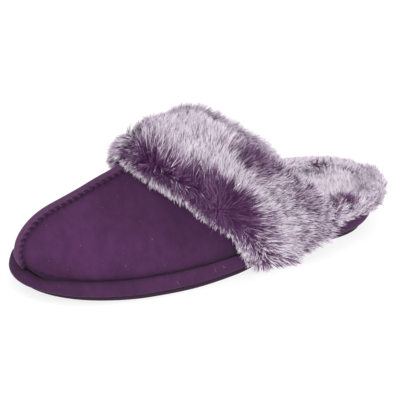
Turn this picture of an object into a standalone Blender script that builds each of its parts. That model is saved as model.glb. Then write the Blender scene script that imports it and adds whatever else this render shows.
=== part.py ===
"""Left mule slipper: suede vamp with a raised centre seam, deep fur cuff and fur rim, wrapped platform sole.

Metres, +X to the toe, +Y to the wearer's left, +Z up. The shape of the last is one function, last_point,
and the upper, the seam strip, the cuff and the fur rim are all worked out from it.
"""

import math
import random

import bmesh
import bpy
from mathutils import Matrix, Vector

# Driving sizes
FEATHER_LENGTH = 0.251  # heel to toe along the line where the upper meets the sole
HEEL_ROUND = 0.0365  # length of the round heel end of the outline
TOE_ROUND = 0.066  # length of the round toe end of the outline
TOE_POWER = 2.5  # how softly the sides run into it
TOE_SPRING = 0.003  # lift of the sole's underside at the toe
SPRING_START = 0.70  # share of the length where the toe spring begins
ARCH_LIFT = 0.0015  # lift of the underside between heel and forefoot
ARCH_SPAN = (0.30, 0.49)  # shares of the length between which the arch lies
OUTSOLE = 0.0030  # thickness of the bottom sheet
INSOLE = 0.0045  # thickness of the fur sock
WALL = 0.0025  # thickness of the upper with its lining
GAP = 0.0003  # play between flat seats
CURVED_GAP = 0.0007  # play between curved pieces, which covers their facets
THROAT = 0.139  # from the heel to the top edge of the vamp, on the ridge
COLLAR_LOW = 0.050  # from the heel to where the collar has come down to the heel wall
COLLAR_DROP = math.radians(85.5)  # arch angle that the collar loses from the throat to the heel wall
HEEL_WALL = math.radians(3.6)  # arch angle of the low heel wall's top edge
COLLAR_EASE = math.radians(5.0)  # softens the corner between the two
SPINE_START = 0.194  # in front of this the sections fan round the toe, and behind HEEL_FAN the heel
HEEL_FAN = 0.036
SPINE_LAG = 0.45  # how far the fan's inner ends fall behind the outline, as a share of its length
RIDGE_SLOPE = 0.33  # fall of the ridge where the toe's sections leave it
BELLY_PEAK = 0.58  # greatest value of the belly's curve, which scales it to the table
CREST_WIDTH = 0.024  # each side of the seam, how far the vamp is drawn up into a crest
CREST_POWER = 1.5  # how sharply the crest rises to the seam
CREST_FOOT = 0.35  # share of the section's rise over which the crest starts at the toe
STRIP_HALF_WIDTH = 0.0036
STRIP_HEIGHT = 0.0024
STRIP_SAG = 0.0006  # how far the vamp falls away under the strip's edges
STRIP_REAR = 0.1815  # from the heel to the end of the strip, in front of the cuff
STRIP_FOOT = math.radians(5)  # arch angle at which the strip ends above the sole, at the toe
OUTSOLE_EDGE = 0.0006  # chamfer round the underside
SOCK_EDGE = 0.003  # soft upper edge of the insole
LOCK_MARGIN = 0.0004  # room left round the root of a lock
LOCK_TIP = 0.22  # a lock's tip as a share of its root
LOCK_LENGTHS = (0.75, 1.15)  # shortest and longest lock, as shares of the usual length
CUFF_LOCK = 0.0065  # usual length of the cuff's locks
CUFF_LEAN = 0.7  # how far they lean along the pile, as a share of their length
CUFF_FORWARD, CUFF_FALL = 0.30, 14.0  # the pile's way forward, and down for each metre from the ridge
CUFF_EDGE, CUFF_CROWN = 0.70, 0.30  # depth of the fur at the cuff's edges and what its middle adds
HANG_START = math.radians(20)  # arch angle below which the cuff stands off to clear the sole's band
RIM_LOCK = 0.0050
RIM_LEAN = 0.6
RIM_PARTING = 0.169  # from the heel to the point on the ridge that the rim's pile leads away from

# Numbers of sections, rows and points
UPPER_BEHIND_THROAT, UPPER_BEFORE_THROAT, UPPER_ROWS = 19, 17, 9
THROAT_CROWDING = 1.8  # how much closer the sections stand towards the throat
SOLE_STATIONS, BAND_ROWS = 44, 8
CUFF_ROW_STEPS, CUFF_COLUMN_STEPS = 11, 8
STRIP_TOE_STEPS, STRIP_RIDGE_STEPS, STRIP_ARC = 16, 8, 6

# Plan of the sole and its stack, a row for each section from heel to toe
PLAN_COLUMNS = ("share", "lateral", "medial", "undercut", "bulge", "stack")
PLAN_ROWS = (
    (0.00, 0.0365, 0.0365, 0.0040, 0.0045, 0.0150),
    (0.15, 0.0365, 0.0360, 0.0035, 0.0040, 0.0150),
    (0.33, 0.0410, 0.0365, 0.0020, 0.0025, 0.0145),
    (0.50, 0.0482, 0.0400, -0.0005, 0.0020, 0.0140),
    (0.62, 0.0505, 0.0440, -0.0020, 0.0025, 0.0135),
    (0.74, 0.0475, 0.0460, -0.0026, 0.0035, 0.0130),
    (0.84, 0.0428, 0.0450, -0.0026, 0.0048, 0.0124),
    (0.92, 0.0400, 0.0430, -0.0018, 0.0062, 0.0118),
    (1.00, 0.0375, 0.0410, -0.0004, 0.0072, 0.0112),
)

# Height of the ridge without its crest, how far the side bellies out over the sole, how full the
# section is, and how high the crest under the seam is
LAST_COLUMNS = ("share", "ridge", "belly", "fullness", "crest")
LAST_ROWS = (
    (0.00, 0.1000, 0.0090, 2.00, 0.0000),
    (0.20, 0.0985, 0.0080, 2.00, 0.0000),
    (0.40, 0.0900, 0.0065, 1.95, 0.0020),
    (0.55, 0.0785, 0.0050, 1.82, 0.0040),
    (0.65, 0.0702, 0.0030, 1.72, 0.0045),
    (0.74, 0.0622, 0.0015, 1.70, 0.0045),
    (0.79, 0.0580, 0.0012, 1.72, 0.0045),
    (0.84, 0.0532, 0.0010, 1.80, 0.0045),
    (0.92, 0.0466, 0.0008, 2.20, 0.0045),
    (1.00, 0.0410, 0.0006, 2.90, 0.0045),
)

# The cuff from the ridge down the side: arch angle in degrees, drop below the sole line,
# distance of the front and rear edges from the heel, depth of the fur under its locks
CUFF_COLUMNS = ("step", "arch", "drop", "front", "rear", "pile")
CUFF_ROWS = (
    (0, 90.0, 0.0000, 0.1800, 0.1450, 0.0150),
    (1, 62.0, 0.0000, 0.1735, 0.1360, 0.0150),
    (2, 37.0, 0.0000, 0.1580, 0.1120, 0.0130),
    (3, 16.0, 0.0000, 0.1420, 0.0800, 0.0115),
    (4, 1.0, 0.0000, 0.1300, 0.0540, 0.0095),
    (5, 0.0, 0.0062, 0.1220, 0.0500, 0.0080),
)

# Section of the fur rim round the collar's edge: out from the wall, and up past the edge
RIM_COLUMNS = ("out", "up")
RIM_ROWS = (
    (0.0050, -0.0085),
    (0.0085, -0.0020),
    (0.0065, 0.0060),
    (-0.0010, 0.0095),
    (-0.0085, 0.0065),
    (-0.0110, 0.0025),
    (-0.0070, -0.0004),
)
RIM_LOCK_FACES = range(1, 6)  # the faces of a section that carry locks

# How thick the rim is and how far it hangs over the wall, by the distance from the heel
RIM_SIZE_COLUMNS = ("x", "thick", "skirt")
RIM_SIZE_ROWS = (
    (0.000, 0.85, 0.60),
    (0.045, 0.95, 0.60),
    (0.070, 1.35, 0.40),
    (0.105, 1.85, 0.40),
    (0.139, 2.10, 0.40),
)

# Colours from the photo, linear, with roughness
SUEDE = ((0.090, 0.032, 0.098), 0.90)
SOLE_RUBBER = ((0.055, 0.021, 0.051), 0.70)
FUR = ((0.420, 0.330, 0.430), 0.95)
LINING = ((0.300, 0.230, 0.310), 0.95)


def look_up(columns, rows, name, at):
    """Smooth value of a named column where the first column is `at`."""
    column = columns.index(name)
    at = min(max(at, rows[0][0]), rows[-1][0])
    low = max(i for i in range(len(rows) - 1) if rows[i][0] <= at)
    span = rows[low + 1][0] - rows[low][0]

    def slope(i):
        before, after = max(i - 1, 0), min(i + 1, len(rows) - 1)
        return (rows[after][column] - rows[before][column]) / (rows[after][0] - rows[before][0])

    t = (at - rows[low][0]) / span
    start, end = rows[low][column], rows[low + 1][column]
    hermite = (2 * t**3 - 3 * t**2 + 1) * start + (3 * t**2 - 2 * t**3) * end
    return hermite + span * ((t**3 - 2 * t**2 + t) * slope(low) + (t**3 - t**2) * slope(low + 1))


def plan_value(name, x):
    return look_up(PLAN_COLUMNS, PLAN_ROWS, name, x / FEATHER_LENGTH)


def last_value(name, x):
    return look_up(LAST_COLUMNS, LAST_ROWS, name, x / FEATHER_LENGTH)


def station_x(turn):
    """Distance from the heel: turn runs from 0 at the heel to 1 at the toe, close together at both ends."""
    return FEATHER_LENGTH * (1 - math.cos(math.pi * turn)) / 2


def turn_at(x):
    return math.acos(1 - 2 * x / FEATHER_LENGTH) / math.pi


def half_width(x, side):
    """Half width of the outline, with a round at each end. side is 1 for lateral and -1 for medial."""
    width = plan_value("lateral" if side > 0 else "medial", x)
    heel = max(0.0, 1 - x / HEEL_ROUND)
    toe = max(0.0, 1 - (FEATHER_LENGTH - x) / TOE_ROUND)
    return width * math.sqrt(max(0.0, 1 - heel**2)) * math.sqrt(max(0.0, 1 - toe**TOE_POWER))


def outline_point(turn, side):
    x = station_x(turn)
    return Vector((x, side * half_width(x, side)))


def feather(turn, side):
    """Point of the outline in plan, and its outward normal."""
    step = 0.004
    ends = [outline_point(min(max(turn + d, 0.0), 1.0), side) for d in (-step, step)]
    along = ends[1] - ends[0]
    if turn < step:
        return outline_point(turn, side), Vector((-1, 0))
    if turn > 1 - step:
        return outline_point(turn, side), Vector((1, 0))
    return outline_point(turn, side), Vector((-along.y, along.x)).normalized() * side


def sole_bottom(x):
    share = x / FEATHER_LENGTH
    if share > SPRING_START:
        return TOE_SPRING * ((share - SPRING_START) / (1 - SPRING_START)) ** 2
    if ARCH_SPAN[0] < share < ARCH_SPAN[1]:
        across = (share - ARCH_SPAN[0]) / (ARCH_SPAN[1] - ARCH_SPAN[0])
        return ARCH_LIFT * math.sin(math.pi * across) ** 2
    return 0.0


def sole_top(x):
    """Top of the platform, which the upper and the insole stand on."""
    flat_lift = sole_bottom(x) if x / FEATHER_LENGTH > SPRING_START else 0.0
    return flat_lift + plan_value("stack", x)


def spine_x(x):
    """Where the section that starts at x on the outline ends on the ridge."""
    if x > SPINE_START:
        past = x - SPINE_START
        return x - SPINE_LAG * past * past / (FEATHER_LENGTH - SPINE_START)
    if x < HEEL_FAN:
        past = HEEL_FAN - x
        return x + SPINE_LAG * past * past / HEEL_FAN
    return x


def last_point(turn, side, arch):
    """Surface of the last: arch is the angle up the section, 0 at the sole and a right angle on the ridge."""
    edge, out = feather(turn, side)
    power = 2 / last_value("fullness", edge.x)
    inward = 1 - max(0.0, math.cos(arch)) ** power
    rise = math.sin(arch) ** power
    ridge_x = spine_x(edge.x)
    low = sole_top(edge.x) + GAP
    high = last_value("ridge", ridge_x)
    belly_shape = math.sin(math.pi * rise) * (1 - rise) / BELLY_PEAK
    plan = edge + out * last_value("belly", edge.x) * belly_shape
    plan += (Vector((ridge_x, 0)) - edge) * inward
    near_seam = max(0.0, 1 - abs(plan.y) / CREST_WIDTH) ** CREST_POWER
    crest = last_value("crest", edge.x) * near_seam * min(1.0, rise / CREST_FOOT)
    fall = RIDGE_SLOPE * max(0.0, plan.x - ridge_x) * rise
    plan += out * crest * math.cos(arch)
    return Vector((plan.x, plan.y, low + (high - low) * rise - fall + crest * math.sin(arch)))


def last_normal(turn, side, arch):
    step = 0.003
    low, high = max(0.0, arch - step), min(math.pi / 2, arch + step)
    before, after = max(0.0, turn - step), min(1.0, turn + step)
    across = last_point(turn, side, high) - last_point(turn, side, low)
    along = last_point(after, side, arch) - last_point(before, side, arch)
    return across.cross(along).normalized() * side


def collar_arch(x):
    """Arch angle of the upper's top edge: the ridge before the throat, then down to the heel wall."""
    if x >= THROAT:
        return math.pi / 2
    down = math.pi / 2 - COLLAR_DROP * math.sqrt((THROAT - x) / (THROAT - COLLAR_LOW))
    eased = (down + HEEL_WALL + math.hypot(down - HEEL_WALL, COLLAR_EASE)) / 2
    return min(eased, math.pi / 2)


def upper_turns():
    """Stations from heel to toe, close together behind the throat, where the collar turns."""
    throat = turn_at(THROAT)
    left = [1 - i / UPPER_BEHIND_THROAT for i in range(UPPER_BEHIND_THROAT)]
    behind = [throat * (1 - share ** THROAT_CROWDING) for share in left]
    before = [throat + (1 - throat) * i / UPPER_BEFORE_THROAT for i in range(UPPER_BEFORE_THROAT + 1)]
    return behind + before


def new_material(name, colour, roughness):
    material = bpy.data.materials.new(name)
    material.use_nodes = True
    shader = material.node_tree.nodes["Principled BSDF"]
    shader.inputs["Base Color"].default_value = (*colour, 1)
    shader.inputs["Roughness"].default_value = roughness
    shader.inputs["Metallic"].default_value = 0
    return material


def new_part(name, bm, finish, collection, parent):
    bmesh.ops.remove_doubles(bm, verts=bm.verts, dist=0.00001)
    mesh = bpy.data.meshes.new(name)
    bm.to_mesh(mesh)
    bm.free()
    mesh.shade_smooth()
    mesh.set_sharp_from_angle(angle=math.radians(50))
    mesh.materials.append(new_material(name, *finish))
    part = bpy.data.objects.new(name, mesh)
    part.parent = parent
    collection.objects.link(part)
    return part


def skin(bm, rings, closed=False, flip=False):
    """Quads between neighbouring rings of vertices. Returns them by ring, in order."""
    faces = []
    for near, far in zip(rings, rings[1:]):
        count = len(near) if closed else len(near) - 1
        row = []
        for i in range(count):
            j = (i + 1) % len(near)
            corners = [near[i], near[j], far[j], far[i]]
            row.append(bm.faces.new(corners[::-1] if flip else corners))
        faces.append(row)
    return faces


def sole_ring(bm, offset, height):
    """A ring of vertices round the sole, from the heel along the lateral side to the toe and back."""
    turns = [i / SOLE_STATIONS for i in range(SOLE_STATIONS + 1)]
    path = [(turn, 1) for turn in turns] + [(turn, -1) for turn in turns[-2:0:-1]]
    ring = []
    for turn, side in path:
        edge, out = feather(turn, side)
        plan = edge + out * offset(edge.x)
        ring.append(bm.verts.new((plan.x, plan.y, height(edge.x))))
    return ring


def cap(bm, ring, up):
    """Closes a sole ring with strips across, from the lateral to the medial side."""
    half = len(ring) // 2
    for i in range(half):
        corners = [ring[i], ring[i + 1], ring[-i - 1], ring[-i]]
        corners = list(dict.fromkeys(corners))
        bm.faces.new(corners[::-1] if up else corners)


def sole_solid(rings_of):
    """A closed solid from (offset, height) functions, bottom ring first."""
    bm = bmesh.new()
    rings = [sole_ring(bm, offset, height) for offset, height in rings_of]
    skin(bm, rings, closed=True, flip=True)
    cap(bm, rings[0], up=False)
    cap(bm, rings[-1], up=True)
    return bm


def build_outsole():
    def under(x):
        return -plan_value("undercut", x)

    return sole_solid([
        (lambda x: under(x) - OUTSOLE_EDGE, sole_bottom),
        (under, lambda x: sole_bottom(x) + OUTSOLE_EDGE),
        (under, lambda x: sole_bottom(x) + OUTSOLE),
    ])


def build_midsole():
    """The wrapped platform: its side is a rounded band that bulges past the upper."""
    def band_ring(row):
        angle = math.pi * (row / BAND_ROWS - 0.5)
        top_share = (1 + math.sin(angle)) / 2

        def offset(x):
            return plan_value("bulge", x) * math.cos(angle) - plan_value("undercut", x) * (1 - top_share)

        def height(x):
            low = sole_bottom(x) + OUTSOLE + GAP
            return low + (sole_top(x) - low) * top_share

        return offset, height

    return sole_solid([band_ring(row) for row in range(BAND_ROWS + 1)])


def build_insole():
    """The sock: fills the floor of the upper, a little dished, with a soft upper edge."""
    inset = WALL + 3 * GAP
    return sole_solid([
        (lambda x: -inset, lambda x: sole_top(x) + GAP),
        (lambda x: -inset, lambda x: sole_top(x) + INSOLE - SOCK_EDGE),
        (lambda x: -inset - SOCK_EDGE / 3, lambda x: sole_top(x) + INSOLE - SOCK_EDGE / 4),
        (lambda x: -inset - SOCK_EDGE, lambda x: sole_top(x) + INSOLE),
        (lambda x: -inset - SOCK_EDGE * 4, lambda x: sole_top(x) + INSOLE - SOCK_EDGE / 3),
    ])


def build_upper():
    """One shell: vamp and heel wall, open at the collar and underneath."""
    bm = bmesh.new()
    for side in (1, -1):
        rings = []
        for turn in upper_turns():
            top = collar_arch(station_x(turn))
            angles = [top * row / UPPER_ROWS for row in range(UPPER_ROWS + 1)]
            rings.append([bm.verts.new(last_point(turn, side, angle)) for angle in angles])
        skin(bm, rings, flip=side < 0)
    return bm


def ridge_line():
    """Points along the middle of the vamp, from the cuff's edge to the toe's foot, and their normals."""
    rear = turn_at(STRIP_REAR)
    turns = [rear + (1 - rear) * i / STRIP_RIDGE_STEPS for i in range(STRIP_RIDGE_STEPS)]
    points = [last_point(turn, 1, math.pi / 2) for turn in turns]
    fall = (math.pi / 2 - STRIP_FOOT) / STRIP_TOE_STEPS
    angles = [math.pi / 2 - fall * i for i in range(STRIP_TOE_STEPS + 1)]
    points += [last_point(1.0, 1, angle) for angle in angles]
    line = []
    for i, point in enumerate(points):
        along = points[min(i + 1, len(points) - 1)] - points[max(i - 1, 0)]
        line.append((point, Vector((-along.z, 0, along.x)).normalized()))
    return line


def build_seam_strip():
    """A half-round strip laid along the vamp's ridge line."""
    bm = bmesh.new()
    rings = []
    for point, normal in ridge_line():
        ring = []
        for i in range(STRIP_ARC + 1):
            angle = math.pi * i / STRIP_ARC
            lift = CURVED_GAP - STRIP_SAG + (STRIP_HEIGHT + STRIP_SAG) * math.sin(angle)
            across = Vector((0, STRIP_HALF_WIDTH * math.cos(angle), 0))
            ring.append(bm.verts.new(point + across + normal * lift))
        ring.append(bm.verts.new(point + normal * CURVED_GAP))
        rings.append(ring)
    skin(bm, rings, closed=True)
    bm.faces.new(rings[0][::-1])
    bm.faces.new(rings[-1])
    return bm


def grow_locks(bm, faces, pile, length, chance):
    """Turns each face into a tapered lock that leans along the pile. pile gives a direction for a face."""
    bmesh.ops.inset_individual(bm, faces=faces, thickness=LOCK_MARGIN, use_even_offset=True)
    for face in faces:
        middle = face.calc_center_median()
        tip = (face.normal + pile(middle)) * length
        tip *= chance.uniform(*LOCK_LENGTHS)
        for vertex in face.verts:
            vertex.co = middle + (vertex.co - middle) * LOCK_TIP + tip


def cuff_value(name, step):
    return look_up(CUFF_COLUMNS, CUFF_ROWS, name, step)


def cuff_point(step, side, across):
    """Seat of the cuff on the upper and its outward direction; below the sole line it hangs past the band."""
    x = cuff_value("front", step) + (cuff_value("rear", step) - cuff_value("front", step)) * across
    arch = math.radians(max(0.0, cuff_value("arch", step)))
    turn = turn_at(x)
    low = max(0.0, 1 - arch / HANG_START)
    stand_off = CURVED_GAP + plan_value("bulge", x) * low * low * (3 - 2 * low)
    out = last_normal(turn, side, arch)
    if cuff_value("drop", step) > 0.001:
        plan_out = feather(turn, side)[1]
        out = Vector((plan_out.x, plan_out.y, 0))
    seat = last_point(turn, side, arch) + out * stand_off
    seat.z -= max(0.0, cuff_value("drop", step))
    return seat, out


def build_cuff():
    """A slab of fur draped over the vamp from side to side, its outer face grown into locks."""
    bm = bmesh.new()
    steps = [CUFF_ROWS[-1][0] * i / CUFF_ROW_STEPS for i in range(CUFF_ROW_STEPS + 1)]
    path = [(step, 1) for step in steps[::-1]] + [(step, -1) for step in steps[1:]]
    seats, tops = [], []
    for step, side in path:
        seat_row, top_row = [], []
        for column in range(CUFF_COLUMN_STEPS + 1):
            across = column / CUFF_COLUMN_STEPS
            seat, out = cuff_point(step, side, across)
            crown = CUFF_EDGE + CUFF_CROWN * math.sin(math.pi * across)
            seat_row.append(bm.verts.new(seat))
            top_row.append(bm.verts.new(seat + out * cuff_value("pile", step) * crown))
        seats.append(seat_row)
        tops.append(top_row)
    outer = skin(bm, tops)
    skin(bm, seats, flip=True)
    for line, flip in ((0, True), (-1, False)):
        skin(bm, [[row[line] for row in seats], [row[line] for row in tops]], flip=flip)
        skin(bm, [seats[line], tops[line]], flip=not flip)
    bm.normal_update()

    def pile(middle):
        # Forward on the ridge, forward and down on the sides
        return Vector((CUFF_FORWARD, 0, -abs(middle.y) * CUFF_FALL)).normalized() * CUFF_LEAN

    grow_locks(bm, [face for row in outer for face in row], pile, CUFF_LOCK, random.Random(3))
    return bm


def collar_line():
    """Edge of the collar all round: point, outward normal and the way up past the edge."""
    throat = turn_at(THROAT)
    turns = [turn for turn in upper_turns() if turn < throat - 0.0001]
    path = [(turn, 1) for turn in turns] + [(throat, 1)] + [(turn, -1) for turn in turns[:0:-1]]
    edge = []
    for turn, side in path:
        arch = collar_arch(station_x(turn))
        edge.append((last_point(turn, side, arch), last_normal(turn, side, arch)))
    line = []
    for i, (point, normal) in enumerate(edge):
        along = (edge[(i + 1) % len(edge)][0] - edge[i - 1][0]).normalized()
        line.append((point, normal, along.cross(normal).normalized()))
    return line


def build_rim():
    """A fur roll that straddles the collar's edge all round, its outside grown into locks."""
    inside = -WALL - CURVED_GAP
    bm = bmesh.new()
    rings = []
    for point, normal, up in collar_line():
        thick = look_up(RIM_SIZE_COLUMNS, RIM_SIZE_ROWS, "thick", point.x)
        skirt = look_up(RIM_SIZE_COLUMNS, RIM_SIZE_ROWS, "skirt", point.x)
        section = [(CURVED_GAP, RIM_ROWS[0][RIM_COLUMNS.index("up")] * skirt)]
        for row in RIM_ROWS:
            out, rise = row[RIM_COLUMNS.index("out")], row[RIM_COLUMNS.index("up")]
            section.append((out * (thick if out > 0 else 1), rise * (thick if rise > 0 else skirt)))
        section += [(inside, -CURVED_GAP), (inside, CURVED_GAP), (CURVED_GAP, CURVED_GAP)]
        rings.append([bm.verts.new(point + normal * out + up * rise) for out, rise in section])
    faces = skin(bm, rings + rings[:1], closed=True)
    bm.normal_update()

    def pile(middle):
        # Away from the throat, to the back and the sides
        return Vector((middle.x - RIM_PARTING, middle.y, 0)).normalized() * RIM_LEAN

    grow_locks(bm, [row[i] for row in faces for i in RIM_LOCK_FACES], pile, RIM_LOCK, random.Random(5))
    return bm


def place_on_origin(parts):
    """Puts the middle of the assembly's underside on the origin."""
    corners = [vertex.co for part in parts for vertex in part.data.vertices]
    low = [min(c[i] for c in corners) for i in range(3)]
    high = [max(c[i] for c in corners) for i in range(3)]
    shift = Vector((-(low[0] + high[0]) / 2, -(low[1] + high[1]) / 2, -low[2]))
    for part in parts:
        part.data.transform(Matrix.Translation(shift))


def main():
    for thing in list(bpy.data.objects):
        bpy.data.objects.remove(thing, do_unlink=True)
    collection = bpy.data.collections.new("slipper")
    bpy.context.scene.collection.children.link(collection)
    root = bpy.data.objects.new("slipper_root", None)
    collection.objects.link(root)

    pieces = (
        ("outsole", build_outsole, SOLE_RUBBER),
        ("midsole", build_midsole, SUEDE),
        ("insole", build_insole, LINING),
        ("upper", build_upper, SUEDE),
        ("seam_strip", build_seam_strip, SUEDE),
        ("fur_cuff", build_cuff, FUR),
        ("fur_rim", build_rim, FUR),
    )
    parts = {name: new_part(name, make(), finish, collection, root) for name, make, finish in pieces}
    shell = parts["upper"].modifiers.new("wall", "SOLIDIFY")
    shell.thickness = WALL
    shell.offset = -1
    shell.use_even_offset = True
    place_on_origin(parts.values())


main()
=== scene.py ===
import math

import bmesh
import bpy
import numpy as np
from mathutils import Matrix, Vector


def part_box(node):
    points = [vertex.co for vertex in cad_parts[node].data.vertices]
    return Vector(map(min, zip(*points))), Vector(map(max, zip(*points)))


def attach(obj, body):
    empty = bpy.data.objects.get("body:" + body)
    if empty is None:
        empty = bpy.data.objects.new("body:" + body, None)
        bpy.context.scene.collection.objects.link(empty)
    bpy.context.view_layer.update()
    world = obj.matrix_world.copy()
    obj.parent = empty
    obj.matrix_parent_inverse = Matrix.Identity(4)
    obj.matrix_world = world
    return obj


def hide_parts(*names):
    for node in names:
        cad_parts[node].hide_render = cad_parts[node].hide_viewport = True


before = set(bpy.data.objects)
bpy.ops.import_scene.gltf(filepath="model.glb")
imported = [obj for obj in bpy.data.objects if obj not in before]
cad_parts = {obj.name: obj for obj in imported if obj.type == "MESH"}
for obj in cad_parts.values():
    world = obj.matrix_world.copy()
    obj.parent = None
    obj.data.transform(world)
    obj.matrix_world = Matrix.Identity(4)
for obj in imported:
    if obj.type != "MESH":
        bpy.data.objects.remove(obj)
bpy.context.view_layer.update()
print("frame loaded")

# the last, in metres from the heel end of the line where upper and sole meet
last = {
    "length": 0.251,
    "heelRound": 0.0365,
    "toeRound": 0.066,
    "toePower": 2.5,
    "toeSpring": 0.003,
    "springStart": 0.70,
    "archLift": 0.0015,
    "archSpan": (0.30, 0.49),
    "outsole": 0.0030,
    "insole": 0.0045,
    "wall": 0.0025,
    "gap": 0.0003,
    "curvedGap": 0.0007,
    "throat": 0.139,
    "collarLow": 0.050,
    "collarDrop": math.radians(85.5),
    "heelWall": math.radians(3.6),
    "collarEase": math.radians(5.0),
    "spineStart": 0.194,
    "heelFan": 0.036,
    "spineLag": 0.45,
    "ridgeSlope": 0.33,
    "bellyPeak": 0.58,
    "crestWidth": 0.024,
    "crestPower": 1.5,
    "crestFoot": 0.35,
}

solePlan = {
    "columns": ("share", "lateral", "medial", "undercut", "bulge", "stack"),
    "rows": (
        (0.00, 0.0365, 0.0365, 0.0040, 0.0045, 0.0150),
        (0.15, 0.0365, 0.0360, 0.0035, 0.0040, 0.0150),
        (0.33, 0.0410, 0.0365, 0.0020, 0.0025, 0.0145),
        (0.50, 0.0482, 0.0400, -0.0005, 0.0020, 0.0140),
        (0.62, 0.0505, 0.0440, -0.0020, 0.0025, 0.0135),
        (0.74, 0.0475, 0.0460, -0.0026, 0.0035, 0.0130),
        (0.84, 0.0428, 0.0450, -0.0026, 0.0048, 0.0124),
        (0.92, 0.0400, 0.0430, -0.0018, 0.0062, 0.0118),
        (1.00, 0.0375, 0.0410, -0.0004, 0.0072, 0.0112),
    ),
}

lastSections = {
    "columns": ("share", "ridge", "belly", "fullness", "crest"),
    "rows": (
        (0.00, 0.1000, 0.0090, 2.00, 0.0000),
        (0.20, 0.0985, 0.0080, 2.00, 0.0000),
        (0.40, 0.0900, 0.0065, 1.95, 0.0020),
        (0.55, 0.0785, 0.0050, 1.82, 0.0040),
        (0.65, 0.0702, 0.0030, 1.72, 0.0045),
        (0.74, 0.0622, 0.0015, 1.70, 0.0045),
        (0.79, 0.0580, 0.0012, 1.72, 0.0045),
        (0.84, 0.0532, 0.0010, 1.80, 0.0045),
        (0.92, 0.0466, 0.0008, 2.20, 0.0045),
        (1.00, 0.0410, 0.0006, 2.90, 0.0045),
    ),
}


def column(table, name, at):
    # smooth curve through one column, the first column says where
    rows = np.array(table["rows"], float)
    xs, ys = rows[:, 0], rows[:, table["columns"].index(name)]
    slope = np.gradient(ys, xs)
    slope[1:-1] = (ys[2:] - ys[:-2]) / (xs[2:] - xs[:-2])
    at = np.clip(np.asarray(at, float), xs[0], xs[-1])
    i = np.clip(np.searchsorted(xs, at, side="right") - 1, 0, len(xs) - 2)
    span = xs[i + 1] - xs[i]
    t = (at - xs[i]) / span
    ends = (2 * t**3 - 3 * t**2 + 1) * ys[i] + (3 * t**2 - 2 * t**3) * ys[i + 1]
    return ends + span * ((t**3 - 2 * t**2 + t) * slope[i] + (t**3 - t**2) * slope[i + 1])


def planValue(name, x):
    return column(solePlan, name, x / last["length"])


def lastValue(name, x):
    return column(lastSections, name, x / last["length"])


def smooth(low, high, value):
    t = np.clip((value - low) / (high - low), 0, 1)
    return t * t * (3 - 2 * t)


def hump(value, middle, width):
    return np.exp(-(((value - middle) / width) ** 2))


def blend(first, second, share):
    # share is one number for each vector
    return first * (1 - share)[..., None] + second * share[..., None]


def unit(v):
    return v / np.maximum(np.linalg.norm(v, axis=-1, keepdims=True), 1e-12)


def stationX(turn):
    return last["length"] * (1 - np.cos(np.pi * turn)) / 2


def turnAt(x):
    return np.arccos(np.clip(1 - 2 * x / last["length"], -1, 1)) / np.pi


def outlineY(x, side):
    width = np.where(side > 0, planValue("lateral", x), planValue("medial", x))
    heel = np.clip(1 - x / last["heelRound"], 0, 1)
    toe = np.clip(1 - (last["length"] - x) / last["toeRound"], 0, 1)
    return side * width * np.sqrt(1 - heel**2) * np.sqrt(1 - toe ** last["toePower"])


def feather(turn, side):
    # place on the outline in plan, and the way out
    step = 0.004
    x = stationX(turn)
    x0, x1 = stationX(np.clip(turn - step, 0, 1)), stationX(np.clip(turn + step, 0, 1))
    alongX, alongY = x1 - x0, outlineY(x1, side) - outlineY(x0, side)
    out = unit(np.stack([-alongY * side, alongX * side], -1))
    out = np.where((turn < step)[..., None], (-1.0, 0.0), out)
    out = np.where((turn > 1 - step)[..., None], (1.0, 0.0), out)
    return np.stack([x, outlineY(x, side)], -1), out


def soleBottom(x):
    share = x / last["length"]
    spring = np.clip((share - last["springStart"]) / (1 - last["springStart"]), 0, 1)
    across = np.clip((share - last["archSpan"][0]) / np.ptp(last["archSpan"]), 0, 1)
    return last["toeSpring"] * spring**2 + last["archLift"] * np.sin(np.pi * across) ** 2


def soleTop(x):
    spring = np.clip((x / last["length"] - last["springStart"]) / (1 - last["springStart"]), 0, 1)
    return last["toeSpring"] * spring**2 + planValue("stack", x)


def spineX(x):
    toe = np.clip(x - last["spineStart"], 0, None)
    heel = np.clip(last["heelFan"] - x, 0, None)
    toeLag = toe * toe / (last["length"] - last["spineStart"])
    return x + last["spineLag"] * (heel * heel / last["heelFan"] - toeLag)


def lastPoint(turn, side, arch):
    # arch is the angle up the section, 0 at the sole and a right angle on the ridge
    turn, side, arch = np.broadcast_arrays(turn, side, arch)
    edge, out = feather(turn, side)
    power = 2 / lastValue("fullness", edge[..., 0])
    inward = 1 - np.clip(np.cos(arch), 0, 1) ** power
    rise = np.clip(np.sin(arch), 0, 1) ** power
    ridgeX = spineX(edge[..., 0])
    low = soleTop(edge[..., 0]) + last["gap"]
    high = lastValue("ridge", ridgeX)
    belly = lastValue("belly", edge[..., 0]) * np.sin(np.pi * rise) * (1 - rise) / last["bellyPeak"]
    plan = edge + out * belly[..., None]
    plan = plan + (np.stack([ridgeX, 0 * ridgeX], -1) - edge) * inward[..., None]
    nearSeam = np.clip(1 - np.abs(plan[..., 1]) / last["crestWidth"], 0, 1) ** last["crestPower"]
    crest = lastValue("crest", edge[..., 0]) * nearSeam * np.clip(rise / last["crestFoot"], 0, 1)
    fall = last["ridgeSlope"] * np.clip(plan[..., 0] - ridgeX, 0, None) * rise
    plan = plan + out * (crest * np.cos(arch))[..., None]
    height = low + (high - low) * rise - fall + crest * np.sin(arch)
    return np.concatenate([plan, height[..., None]], -1)


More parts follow.
